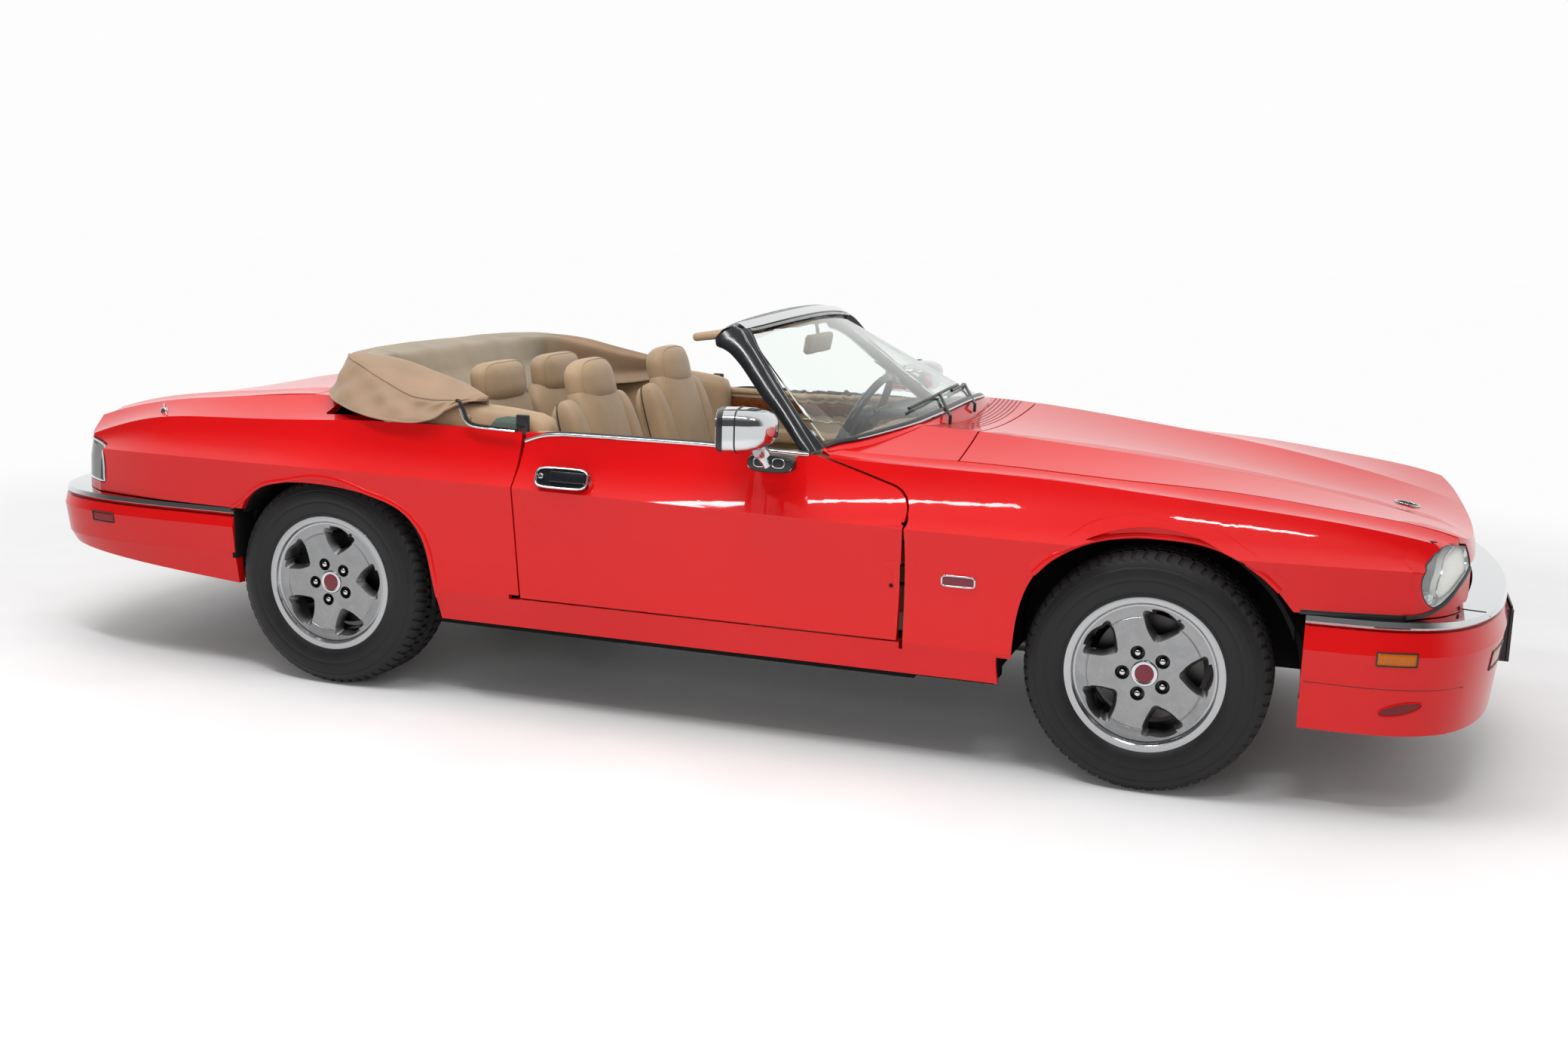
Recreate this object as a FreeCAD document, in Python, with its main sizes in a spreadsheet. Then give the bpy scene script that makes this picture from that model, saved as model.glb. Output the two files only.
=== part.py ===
import FreeCAD, Part
import math
import os
from FreeCAD import Placement, Rotation, Vector

# A two-door convertible car, parked with its soft top folded.
# Frame: +X forward, +Y left, +Z up, ground at Z = 0, mid-length and centreline at the origin.

doc = FreeCAD.newDocument("Convertible")

# Driving dimensions, in millimetres and degrees.
SIZES = {
    "half_length": 2428.5,
    "half_width": 896.5,
    "front_axle_x": 1458.5,
    "wheelbase": 2591.0,
    "front_track": 1489.0,
    "rear_track": 1504.0,
    "tyre_radius": 338.0,
    "tyre_width": 225.0,
    "tread_width": 164.0,
    "shoulder_drop": 20.0,
    "bead_radius": 203.2,
    "flange_radius": 220.5,
    "rim_width": 178.0,
    "flange_width": 12.0,
    "rim_wall": 8.0,
    "well_drop": 26.0,
    "hub_radius": 78.0,
    "hub_face": 84.0,
    "hub_back": 24.0,
    "spoke_face": 88.0,
    "spoke_depth": 26.0,
    "spoke_count": 5,
    "window_outer": 186.0,
    "window_inner": 92.0,
    "window_angle": 23.0,
    "window_corner": 15.0,
    "lug_circle": 120.65,
    "lug_radius": 12.0,
    "lug_depth": 18.0,
    "bolt_radius": 6.5,
    "centre_bore": 37.0,
    "cap_radius": 33.0,
    "cap_height": 4.0,
    "spindle_clearance": 0.5,
    "running_clearance": 0.3,
    "wheel_gap": 10.0,
    "disc_radius": 150.0,
    "disc_thickness": 22.0,
    "disc_place": -12.0,
    "kingpin_inset": 65.0,
    "kingpin_radius": 22.0,
    "kingpin_low": 105.0,
    "kingpin_high": 105.0,
    "carrier_radius": 50.0,
    "shut_gap": 5.0,
    "skin": 20.0,
    "seat_clearance": 0.3,
    "sill_foot_z": 268.0,
    "sill_top_z": 360.0,
    "door_front_x": 774.0,
    "door_rear_x": -449.0,
    "door_corner_x": 716.0,
    "door_corner_z": 796.0,
    "door_inner_y": 790.0,
    "door_edge_inset": 20.0,
    "door_hinge_x": 745.0,
    "door_hinge_y": 872.0,
    "door_skin": 15.0,
    "pillar_base_x": 478.0,
    "belt_z": 873.0,
    "well_radius": 405.0,
    "well_inner_y": 430.0,
    "bonnet_rear_x": 884.0,
    "bonnet_lip_z": 672.0,
    "bonnet_hinge_x": 2235.0,
    "bonnet_hinge_z": 610.0,
    "boot_front_x": -1335.0,
    "boot_lip_z": 600.0,
    "hinge_pin": 6.0,
    "hinge_eye": 12.0,
    "bumper_top_z": 556.0,
    "bumper_wall": 30.0,
    "plate_width": 305.0,
    "plate_height": 155.0,
    "floor_z": 235.0,
    "floor_thickness": 20.0,
    "tunnel_width": 170.0,
    "tunnel_z": 420.0,
    "cabin_half_width": 745.0,
    "firewall_x": 800.0,
    "boot_floor_z": 440.0,
    "seat_centre_y": 330.0,
    "seat_width": 500.0,
    "engine_length": 760.0,
    "engine_width": 520.0,
    "engine_height": 480.0,
    "engine_base_z": 250.0,
    "steering_radius": 192.0,
    "steering_grip": 14.0,
    "steering_rake": 62.0,
    "exhaust_radius": 27.0,
    "glass_thickness": 6.0,
}

sheet = doc.addObject("Spreadsheet::Sheet", "Sizes")
for line, (alias, value) in enumerate(SIZES.items(), start=1):
    sheet.set(f"A{line}", alias)
    sheet.set(f"B{line}", str(value))
    sheet.setAlias(f"B{line}", alias)
doc.recompute()


def size(alias):
    return float(getattr(sheet, alias))


nodes = {}


def keep(label, item):
    item.Label = label
    nodes[label] = item
    return item


def keep_shape(label, shape):
    item = doc.addObject("Part::Feature", label)
    item.Shape = shape
    item.Placement = Placement()
    return keep(label, item)


def mirrored(shape):
    return shape.mirror(Vector(0, 0, 0), Vector(0, 1, 0))


def both_sides(shape):
    return [shape, mirrored(shape)]


def fused(shapes):
    shapes = list(shapes)
    if len(shapes) == 1:
        return shapes[0]
    return shapes[0].multiFuse(shapes[1:])


def fused_in_turn(shapes):
    whole_shape = shapes[0]
    for shape in shapes[1:]:
        whole_shape = whole_shape.fuse(shape)
    return whole_shape


def group(shapes):
    solids = []
    for shape in shapes:
        solids += shape.Solids
    return Part.Compound(solids)


def block(x_low, x_high, y_low, y_high, z_low, z_high):
    lengths = (x_high - x_low, y_high - y_low, z_high - z_low)
    return Part.makeBox(*lengths, Vector(x_low, y_low, z_low))


def rod(radius, start, end):
    start, end = Vector(*start), Vector(*end)
    return Part.makeCylinder(radius, (end - start).Length, start, end - start)


# Closed outlines. A stretch is one point for a line, two for an arc, more for a curve.
def outline(start, *stretches, place=lambda u, v: Vector(u, 0, v)):
    here = place(*start)
    first = here
    edges = []
    for stretch in stretches:
        points = [place(*point) for point in stretch]
        if len(points) == 1:
            edges.append(Part.LineSegment(here, points[0]).toShape())
        elif len(points) == 2:
            edges.append(Part.Arc(here, points[0], points[1]).toShape())
        else:
            curve = Part.BSplineCurve()
            curve.interpolate([here] + points)
            edges.append(curve.toShape())
        here = points[-1]
    if (here - first).Length > 1e-6:
        edges.append(Part.LineSegment(here, first).toShape())
    return Part.Face(Part.Wire(edges))


def side_prism(y_low, y_high, start, *stretches):
    face = outline(start, *stretches, place=lambda u, v: Vector(u, y_low, v))
    return face.extrude(Vector(0, y_high - y_low, 0))


def plan_prism(z_low, z_high, start, *stretches):
    face = outline(start, *stretches, place=lambda u, v: Vector(u, v, z_low))
    return face.extrude(Vector(0, 0, z_high - z_low))


# Smooth skins. A row is a curve through one point at each station; a strip joins two rows,
# flat or crowned by a middle row of control points.
def row_poles(points, places):
    curve = Part.BSplineCurve()
    curve.interpolate(Points=[Vector(*point) for point in points], Parameters=places)
    return curve


def strip(first, last, places, crown=None):
    rows = [first, last] if crown is None else [first, crown, last]
    curves = [row_poles(row, places) for row in rows]
    sample = curves[0]
    poles = [list(column) for column in zip(*[curve.getPoles() for curve in curves])]
    surface = Part.BSplineSurface()
    surface.buildFromPolesMultsKnots(
        poles,
        sample.getMultiplicities(),
        [len(rows), len(rows)],
        sample.getKnots(),
        [0.0, 1.0],
        False,
        False,
        sample.Degree,
        len(rows) - 1,
    )
    return surface.toShape()


def crown_row(first, last, rise):
    row = []
    for index, (a, b) in enumerate(zip(first, last)):
        a, b = Vector(*a), Vector(*b)
        lift = rise[index] if isinstance(rise, (list, tuple)) else rise
        chord = b - a
        outward = Vector(0, chord.z, -chord.y)
        if outward.Length > 1e-9:
            outward.normalize()
        row.append((a + b) * 0.5 + outward * (2 * lift))
    return row


def end_cap(rows, crowns, station):
    edges = []
    for index, row in enumerate(rows):
        a = Vector(*row[station])
        b = Vector(*rows[(index + 1) % len(rows)][station])
        if crowns[index] is None:
            edges.append(Part.LineSegment(a, b).toShape())
        else:
            arc = Part.BezierCurve()
            arc.setPoles([a, Vector(*crowns[index][station]), b])
            edges.append(arc.toShape())
    if len(edges) == 4 and Part.Wire(edges).findPlane() is None:
        return Part.makeRuledSurface(edges[0], edges[2])
    return Part.Face(Part.Wire(edges))


def skin_solid(rows, places, crowns=None):
    crowns = crowns or [None] * len(rows)
    faces = []
    for index, row in enumerate(rows):
        following = rows[(index + 1) % len(rows)]
        faces.append(strip(row, following, places, crowns[index]))
    faces.append(end_cap(rows, crowns, 0))
    faces.append(end_cap(rows, crowns, -1))
    shell = Part.Shell(faces)
    shell.sewShape()
    solid = Part.Solid(shell)
    if solid.Volume < 0:
        solid.reverse()
    return solid


# Body lines: place along the car, then each line's half-breadth and height there.
FRONT_AXLE = size("front_axle_x")
REAR_AXLE = FRONT_AXLE - size("wheelbase")
HALF = size("half_width")
STATIONS = [
    2330,
    2175,
    1967,
    1650,
    1330,
    1050,
    780,
    300,
    -430,
    -1020,
    -1322,
    -1600,
    -1850,
    -2130,
    -2440,
]
# Each line is an inset from the half width and a height, station by station.
SILL_FOOT = [
    (170, 268),
    (106, 268),
    (58, 268),
    (40, 268),
    (38, 268),
    (38, 268),
    (38, 268),
    (38, 268),
    (38, 268),
    (38, 268),
    (40, 268),
    (46, 268),
    (62, 268),
    (116, 268),
    (196, 268),
]
SILL_CREASE = [
    (160, 360),
    (92, 360),
    (46, 360),
    (24, 360),
    (21, 360),
    (21, 360),
    (21, 360),
    (21, 360),
    (21, 360),
    (21, 360),
    (24, 360),
    (32, 360),
    (50, 360),
    (96, 360),
    (176, 360),
]
WAIST = [
    (200, 668),
    (122, 677),
    (57, 684),
    (16, 685),
    (3, 686),
    (3, 688),
    (4, 690),
    (3, 698),
    (2, 708),
    (3, 715),
    (10, 713),
    (25, 711),
    (48, 708),
    (112, 700),
    (210, 690),
]
CREST = [
    (236, 700),
    (174, 745),
    (144, 781),
    (124, 811),
    (120, 834),
    (119, 848),
    (115, 853),
    (84, 872),
    (68, 873),
    (76, 868),
    (98, 849),
    (112, 837),
    (122, 818),
    (160, 745),
    (240, 640),
]
SHUT = [
    (300, 716),
    (276, 766),
    (260, 797),
    (236, 831),
    (222, 846),
    (206, 861),
    (190, 868),
    (164, 880),
    (160, 880),
    (190, 896),
    (276, 916),
    (276, 892),
    (280, 866),
    (290, 812),
    (330, 690),
]
BULGE = [
    (600, 694),
    (590, 744),
    (560, 792),
    (520, 846),
    (490, 884),
    (456, 912),
    (430, 930),
    (430, 930),
    (430, 930),
    (430, 920),
    (430, 924),
    (430, 900),
    (430, 876),
    (430, 832),
    (430, 720),
]
BULGE_RISE = [4, 18, 32, 34, 26, 20, 16, 8, 6, 6, 8, 10, 10, 8, 6]


def body_row(line, inset=0.0, drop=0.0):
    row = []
    for x, (breadth, height) in zip(STATIONS, line):
        row.append((x, -(HALF - breadth - inset), height - drop))
    return row


def across(row):
    return [(x, -y, z) for x, y, z in row]


def station_places():
    span = STATIONS[0] - STATIONS[-1]
    return [(STATIONS[0] - x) / span for x in STATIONS]


def body_solid(inset, foot_drop=0.0):
    right = [
        body_row(SILL_FOOT, inset, foot_drop),
        body_row(SILL_CREASE, inset),
        body_row(WAIST, inset),
        body_row(CREST, 0.7 * inset, inset),
        body_row(SHUT, 0.3 * inset, inset),
        body_row(BULGE, 0.0, inset),
    ]
    left = [across(row) for row in reversed(right)]
    rises = [2.0, 9.0, 16.0, 5.0, 3.0]
    crowns = []
    for index, rise in enumerate(rises):
        crowns.append(crown_row(right[index], right[index + 1], rise))
    middle = crown_row(right[5], left[0], BULGE_RISE)
    crowns_left = []
    for index, rise in enumerate(reversed(rises)):
        crowns_left.append(crown_row(left[index], left[index + 1], rise))
    rows = right + left
    return skin_solid(rows, station_places(), crowns + [middle] + crowns_left + [None])


# Plan outlines of nose, tail and bumpers, from the right side round to the centreline.
def whole_path(half):
    return half + [(x, -y) for x, y in reversed(half[:-1])]


def path_row(half, z, forward=0.0, heights=None):
    points = whole_path(half)
    levels = heights + list(reversed(heights[:-1])) if heights else [z] * len(points)
    return [(x + forward, y, level) for (x, y), level in zip(points, levels)]


def path_places(half):
    points = [Vector(x, y, 0) for x, y in whole_path(half)]
    run = [0.0]
    for a, b in zip(points, points[1:]):
        run.append(run[-1] + (b - a).Length)
    return [value / run[-1] for value in run]


def inward(half, depth):
    points = []
    count = len(half)
    for index, (x, y) in enumerate(half):
        a = half[max(index - 1, 0)]
        b = half[min(index + 1, count - 1)]
        if index == count - 1:
            points.append((x - math.copysign(depth, x), 0.0))
            continue
        along = Vector(b[0] - a[0], b[1] - a[1], 0)
        along.normalize()
        side = 1 if x > 0 else -1
        if index == 0:
            points.append((x, y + depth))
        else:
            points.append((x - side * depth * abs(along.y), y + depth * abs(along.x)))
    return points


NOSE = [
    (1700, -980),
    (1960, -900),
    (2110, -806),
    (2190, -738),
    (2243, -650),
    (2276, -540),
    (2295, -380),
    (2305, -200),
    (2309, 0),
]
TAIL = [
    (-1700, -960),
    (-1950, -880),
    (-2065, -798),
    (-2150, -742),
    (-2205, -680),
    (-2246, -590),
    (-2278, -430),
    (-2300, -220),
    (-2308, 0),
]


def end_solid(half, rake):
    backs = [(1000.0 if half[0][0] > 0 else -1000.0, y) for x, y in half]
    sign = 1 if half[0][0] > 0 else -1
    rows = [
        path_row(half, 520.0, sign * 6),
        path_row(half, 660.0),
        path_row(half, 960.0, -sign * rake),
        path_row(backs, 960.0),
        path_row(backs, 520.0),
    ]
    return skin_solid(rows, path_places(half))


GAP = size("shut_gap")
SKIN = size("skin")
FOOT = size("sill_foot_z")
SILL = size("sill_top_z")
BUMPER_TOP = size("bumper_top_z")

# What lies outside the nose and tail, as cutting forms.
def beyond(half, rake, inset):
    sign = 1 if half[0][0] > 0 else -1
    cutter = block(min(sign * 1010, sign * 2600), max(sign * 1010, sign * 2600), -1100, 1100, 521, 959)
    cutter = cutter.cut(end_solid(half, rake))
    cutter.translate(Vector(-sign * inset, 0, 0))
    return cutter


def trimmed_body(inset, foot_drop=0.0):
    form = body_solid(inset, foot_drop)
    form = form.cut([beyond(NOSE, 85.0, inset), beyond(TAIL, 60.0, inset)])
    low = [block(1700, 2600, -1100, 1100, 0, BUMPER_TOP), block(-2600, -1700, -1100, 1100, 0, BUMPER_TOP)]
    return form.cut(low) if inset == 0 else form


full_body = trimmed_body(0.0)
hollow_body = trimmed_body(SKIN, 120.0)
body_shell = full_body.cut(hollow_body)

# Space that the structure may fill, a hair inside the panels.
inner_form = trimmed_body(SKIN + 0.5, 120.0)


def inside(shape):
    return shape.common(inner_form)


def largest(shape):
    return sorted(shape.Solids, key=lambda solid: solid.Volume)[-1]



# Shut lines in plan, right side.
BONNET_LINE = [(2420, -610), (2226, -620), (1967, -636), (1650, -660), (1115, -690), (884, -700)]
BOOT_LINE = [(-1335, -620), (-1600, -618), (-1945, -606), (-2150, -590), (-2420, -560)]


def shifted(line, offset):
    return [(x, y + offset) for x, y in line]


# Door outline in side view, grown by a gap.
def door_prism(gap, y_low, y_high, rear_inset=0.0, front_inset=0.0, top=940.0):
    front = size("door_front_x") + gap - front_inset
    rear = size("door_rear_x") - gap + rear_inset
    corner_x = size("door_corner_x") + gap - front_inset
    corner_z = size("door_corner_z") + gap
    pillar_x = size("pillar_base_x") + gap - front_inset
    low = SILL + GAP - gap + rear_inset
    bend = 60.0
    return side_prism(
        y_low,
        y_high,
        (rear + 20, low),
        [(rear + 4, 560), (rear, 736)],
        [(rear + 24, top)],
        [(pillar_x - 60, top)],
        [(pillar_x, 868 + gap)],
        [(corner_x, corner_z)],
        [(front - 12, corner_z - 0.55 * bend), (front, corner_z - 1.4 * bend)],
        [(front - 9, low)],
    )


def arch_front():
    x = FRONT_AXLE + 20
    return side_prism(
        -1000,
        0,
        (x - 374, 200),
        [(x - 383, 338)],
        [(x - 376, 451), (x - 358, 533), (x - 326, 598), (x - 280, 648), (x - 222, 684), (x - 156, 704),
         (x - 78, 715), (x, 719), (x + 80, 714), (x + 158, 699), (x + 211, 682), (x + 266, 652), (x + 312, 608),
         (x + 357, 554)],
        [(x + 357, 200)],
    )


def front_wing():
    line = shifted(BONNET_LINE, -GAP / 2)
    rear_x = size("door_front_x") - 300
    plan = plan_prism(
        150,
        1100,
        (2420, -1000),
        [line[0]],
        line[1:],
        [(rear_x, line[-1][1] - 4)],
        [(rear_x, -1000)],
    )
    wing = body_shell.common(plan)
    wing = wing.cut(door_prism(GAP, -1000, 0, top=1200.0))
    wing = wing.cut(block(rear_x - 10, size("pillar_base_x"), -1000, 0, 0, 1200))
    wing = wing.cut(arch_front())
    door_sweep = math.hypot(size("door_front_x") - size("door_hinge_x"), size("half_width") - 3 - size("door_hinge_y"))
    hinge_x, hinge_y = size("door_hinge_x"), -size("door_hinge_y")
    wing = wing.cut(rod(door_sweep + 3, (hinge_x, hinge_y, SILL - 20), (hinge_x, hinge_y, 900)))
    well_x = FRONT_AXLE
    wheel_z = size("tyre_radius")
    well = rod(size("well_radius"), (well_x, -872, wheel_z), (well_x, -300, wheel_z))
    wing = wing.cut(well)
    wing = wing.cut(lamp_prism(GAP / 2))
    solids = sorted(wing.Solids, key=lambda s: s.Volume)
    return solids[-1]


# Headlamp: a rounded outline seen along its own slanted axis.
LAMP_AXIS = Vector(math.cos(math.radians(-28)), math.sin(math.radians(-28)), 0)


def lamp_prism(grow):
    centre = Vector(2215, -655, 662)
    across_dir = Vector(-LAMP_AXIS.y, LAMP_AXIS.x, 0)

    def place(u, v):
        return centre - LAMP_AXIS * 200 + across_dir * u + Vector(0, 0, v)

    left = -165 - grow
    right = 118 + grow
    low = -86 - grow
    face = outline(
        (left, -6),
        [(left + 26, 52), (left + 92, 86 + grow)],
        [(right - 26, 60 + grow)],
        [(right - 4, 44), (right, 22)],
        [(right - 14, -60)],
        [(right - 26, low + 6), (right - 60, low)],
        [(left + 80, low)],
        [(left + 22, low + 28), (left, -6)],
        place=place,
    )
    return face.extrude(LAMP_AXIS * 500)


def head_lamp():
    lamp = full_body.common(lamp_prism(0))
    back = hollow_body.copy()
    back.translate(Vector(-30, 0, 0))
    return sorted(lamp.cut(back).Solids, key=lambda s: s.Volume)[-1]


right_wing = front_wing()
keep_shape("front_wings", group(both_sides(right_wing)))
lamp = head_lamp()


def bonnet_panel():
    line = shifted(BONNET_LINE, GAP / 2)
    mirror_line = [(x, -y) for x, y in reversed(line)]
    rear = size("bonnet_rear_x")
    plan = plan_prism(
        500,
        1100,
        line[0],
        line[1:-1] + [(rear, line[-1][1])],
        [(rear + 4, 0), (rear, -line[-1][1])],
        mirror_line[1:],
    )
    panel = body_shell.common(plan).cut(block(500, 2500, -1000, 1000, 0, size("bonnet_lip_z")))
    for lamp_cut in both_sides(lamp_prism(GAP)):
        panel = panel.cut(lamp_cut)
    return sorted(panel.Solids, key=lambda s: s.Volume)[-1]


def clear_of_lamps(panel):
    hinge = Vector(size("bonnet_hinge_x"), 0, size("bonnet_hinge_z"))
    for lamp_side in both_sides(full_body.common(lamp_prism(GAP))):
        for angle in (2, 5, 10, 16, 24, 34, 45, 55):
            swept = lamp_side.copy()
            swept.rotate(hinge, Vector(0, 1, 0), -angle)
            panel = panel.cut(swept)
    return largest(panel)


bonnet = clear_of_lamps(bonnet_panel())


# Front-hinged bonnet: arms run back from pins on the front panel and then up.
def bonnet_arms():
    x, z = size("bonnet_hinge_x"), size("bonnet_hinge_z")
    arms = []
    for y in (-330, 330):
        plate = side_prism(
            y - 6, y + 6, (x, z - 10), [(x, z + 10)], [(x - 75, z + 10)], [(x - 75, z + 150)],
            [(x - 105, z + 150)], [(x - 105, z - 10)],
        )
        arm = fused([plate, rod(size("hinge_eye"), (x, y - 6, z), (x, y + 6, z))])
        arm = arm.common(full_body)
        hole = size("hinge_pin") + size("running_clearance")
        arms.append(arm.cut(rod(hole, (x, y - 10, z), (x, y + 10, z))))
    return arms


def bonnet_brackets():
    x, z = size("bonnet_hinge_x"), size("bonnet_hinge_z")
    brackets = []
    for y in (-330, 330):
        for side in (-16, 16):
            low, high = y + side - 6, y + side + 6
            brackets.append(block(FRONT_PANEL_X, x + 9, low, high, z - 40, z + 9))
        brackets.append(rod(size("hinge_pin"), (x, y - 20, z), (x, y + 20, z)))
    return brackets


FRONT_PANEL_X = 2185.0
keep_shape("bonnet", fused([bonnet] + bonnet_arms()))


def boot_plan(offset, z_low, front):
    line = shifted(BOOT_LINE, offset)
    mirror_line = [(x, -y) for x, y in reversed(line)]
    return plan_prism(
        z_low,
        1100,
        (front, line[0][1]),
        line[1:],
        [mirror_line[0]],
        mirror_line[1:-1] + [(front, -line[0][1])],
    )


def boot_panel():
    lip = size("boot_lip_z")
    panel = body_shell.common(boot_plan(GAP / 2, lip, size("boot_front_x")))
    for lamp_cut in both_sides(tail_lamp_prism(GAP)):
        panel = panel.cut(lamp_cut)
    return sorted(panel.Solids, key=lambda s: s.Volume)[-1]


def tail_lamp_prism(grow):
    face = outline(
        (-2046 + grow, 588 - grow),
        [(-2040 + grow, 660), (-2052 + grow, 712 + grow)],
        [(-2140, 728 + grow)],
        [(-2420, 728 + grow)],
        [(-2420, 588 - grow)],
        place=lambda u, v: Vector(u, -1000, v),
    )
    inner_end = 470 - grow
    return face.extrude(Vector(0, 1000 - inner_end, 0))


def tail_lamp():
    full = full_body.common(tail_lamp_prism(0))
    back = hollow_body.copy()
    back.translate(Vector(20, 10, 0))
    return sorted(full.cut(back).Solids, key=lambda s: s.Volume)[-1]


boot_hinge_x = size("boot_front_x") - 27.0
boot_hinge_z = 914.0
BOOT_HINGE_YS = (-430, 430)


def boot_with_hinges(lid):
    x, z = boot_hinge_x, boot_hinge_z
    for y in BOOT_HINGE_YS:
        lid = lid.cut(block(x - 9, x + 36, y - 17, y + 17, z - 60, z + 6.5))
        eye = rod(6.5, (x, y - 6, z), (x, y + 6, z))
        leaf = block(x - 30, x, y - 6, y + 6, z - 6.5, z + 4)
        hinge = fused([eye, leaf]).cut(rod(3.3, (x, y - 7, z), (x, y + 7, z)))
        lid = fused([lid, hinge])
    return largest(lid)


def boot_brackets():
    x, z = boot_hinge_x, boot_hinge_z
    parts = []
    for y in BOOT_HINGE_YS:
        for low in (y - 14, y + 10):
            parts.append(block(x - 5.5, x + 5.5, low, low + 4, z - 34, z))
            parts.append(rod(5.5, (x, low, z), (x, low + 4, z)))
            parts.append(block(x - 5.5, -1300, low, low + 4, z - 34, z - 26))
            parts.append(block(-1324, -1300, low, low + 4, z - 34, z - 4))
        parts.append(rod(3.0, (x, y - 14, z), (x, y + 14, z)))
    return parts


keep_shape("boot_lid", boot_with_hinges(boot_panel()))


def rear_quarter():
    line = shifted(BOOT_LINE, -GAP / 2)
    start = size("door_rear_x") + 60
    cabin_y = -size("cabin_half_width")
    plan = plan_prism(
        150,
        1100,
        (start, -1000),
        [(start, cabin_y - 14)],
        [(-1190, cabin_y - 14)],
        [(-1240, -700), line[0]],
        line[1:],
        [(-2420, -1000)],
    )
    panel = body_shell.common(plan).cut(door_prism(GAP, -1000, 0, top=1200.0))
    panel = panel.cut(block(size("door_rear_x") - 20, 600, -1000, 0, SILL - 2, SILL + 12))
    wheel_z = size("tyre_radius")
    arch = side_prism(
        -1000,
        0,
        (REAR_AXLE + 434, 200),
        [(REAR_AXLE + 372, 500)],
        [(REAR_AXLE + 318, 584), (REAR_AXLE + 204, 636)],
        [(REAR_AXLE - 30, 664), (REAR_AXLE - 190, 652)],
        [(REAR_AXLE - 286, 600), (REAR_AXLE - 330, 500)],
        [(REAR_AXLE - 330, 200)],
    )
    panel = panel.cut(arch)
    panel = panel.cut(rod(380, (REAR_AXLE, -872, wheel_z), (REAR_AXLE, -560, wheel_z)))
    panel = panel.cut(tail_lamp_prism(GAP / 2))
    panel = panel.cut(block(-2500, REAR_AXLE - 300, -1000, 0, 0, BUMPER_TOP))
    return sorted(panel.Solids, key=lambda s: s.Volume)[-1]


quarter = rear_quarter()
keep_shape("rear_quarters", group(both_sides(quarter)))
rear_lamp = tail_lamp()

# Sill panels below the doors.
sill = full_body.common(block(REAR_AXLE + 436, FRONT_AXLE - 360, -1000, -820, FOOT - 1, SILL))
sill = sill.cut(right_wing).cut(quarter)
sill = sill.cut(block(size("door_front_x") + GAP - 6, 2000, -1000, 0, 0, 500))
sill = sill.cut(block(-2000, size("door_rear_x") + 12, -1000, 0, 0, 500))
keep_shape("sills", group(both_sides(sorted(sill.Solids, key=lambda s: s.Volume)[-1])))


# Doors: the outer skin, an inner case set in from its edges, and pockets for the hinges.
HINGE_LEVELS = (550.0, 670.0)
DOOR_AXIS = (size("door_hinge_x"), -size("door_hinge_y"))


def door():
    inner_y = -size("door_inner_y")
    panel = full_body.common(door_prism(0, -1000, inner_y))
    inset = size("door_edge_inset")
    case = door_prism(0, -1001, inner_y + 2, rear_inset=inset, front_inset=70.0)
    rim = hollow_body.common(door_prism(1, -1000, inner_y + 1)).cut(case)
    panel = panel.cut(rim)
    x, y = DOOR_AXIS
    for z in HINGE_LEVELS:
        panel = panel.cut(block(x - 14, x + 40, y - 8.5, inner_y + 1, z - 36, z + 36))
        eye = rod(7.5, (x, y, z - 20), (x, y, z + 20))
        leaf = block(x - 60, x, y - 4, y + 7, z - 20, z + 20)
        hinge = fused([eye, leaf]).cut(rod(4.8, (x, y, z - 21), (x, y, z + 21)))
        panel = fused([panel, hinge])
    return largest(panel)


def door_post():
    x, y = DOOR_AXIS
    parts = [inside(block(784, 850, -1000, -735, 300, 1000))]
    for z in HINGE_LEVELS:
        for low in (z - 32, z + 24):
            parts.append(block(x - 7, x + 7, y, y + 40, low, low + 8))
            parts.append(block(x - 7, 790, y + 24, y + 40, low, low + 8))
            parts.append(rod(7, (x, y, low), (x, y, low + 8)))
        parts.append(rod(4.5, (x, y, z - 30), (x, y, z + 30)))
    return parts


right_door = door()
keep_shape("door_right", right_door)
keep_shape("door_left", mirrored(right_door))

# Inner trim of the doors.
card = door_prism(0, -size("door_inner_y"), -size("door_inner_y") + 16, rear_inset=40, front_inset=90, top=862)
keep_shape("door_card_right", card)
keep_shape("door_card_left", mirrored(card))

# Door mirrors.
mirror_head = Part.makeBox(96, 176, 118, Vector(278, -1052, 884))
mirror_head = mirror_head.makeFillet(34, mirror_head.Edges)
mirror_foot = block(322, 392, -900, -868, 820, 900)
mirror_foot = fused([mirror_foot, block(322, 392, -868, -800, 846, 868)])
door_mirror = fused([mirror_head, block(300, 366, -930, -870, 868, 900), mirror_foot])
door_mirror = largest(door_mirror.cut(full_body))
door_mirror.translate(Vector(0, -0.3, 0.3))
keep_shape("door_mirror_right", door_mirror)
keep_shape("door_mirror_left", mirrored(door_mirror))


def bumper(half, levels, insets, foot_heights=None):
    outer_rows = []
    for level, inset in zip(levels, insets):
        outer_rows.append(path_row(inward(half, inset), level))
    if foot_heights:
        outer_rows[0] = path_row(inward(half, insets[0]), 0, heights=foot_heights)
    wall = size("bumper_wall")
    top_inner = path_row(inward(half, insets[-1] + wall), levels[-1])
    foot_inner = path_row(inward(half, insets[0] + wall), levels[0])
    if foot_heights:
        foot_inner = path_row(inward(half, insets[0] + wall), 0, heights=foot_heights)
    belly_inner = path_row(inward(half, insets[2] + wall), levels[2])
    rows = outer_rows + [top_inner, belly_inner, foot_inner]
    return skin_solid(rows, path_places(half))


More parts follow.
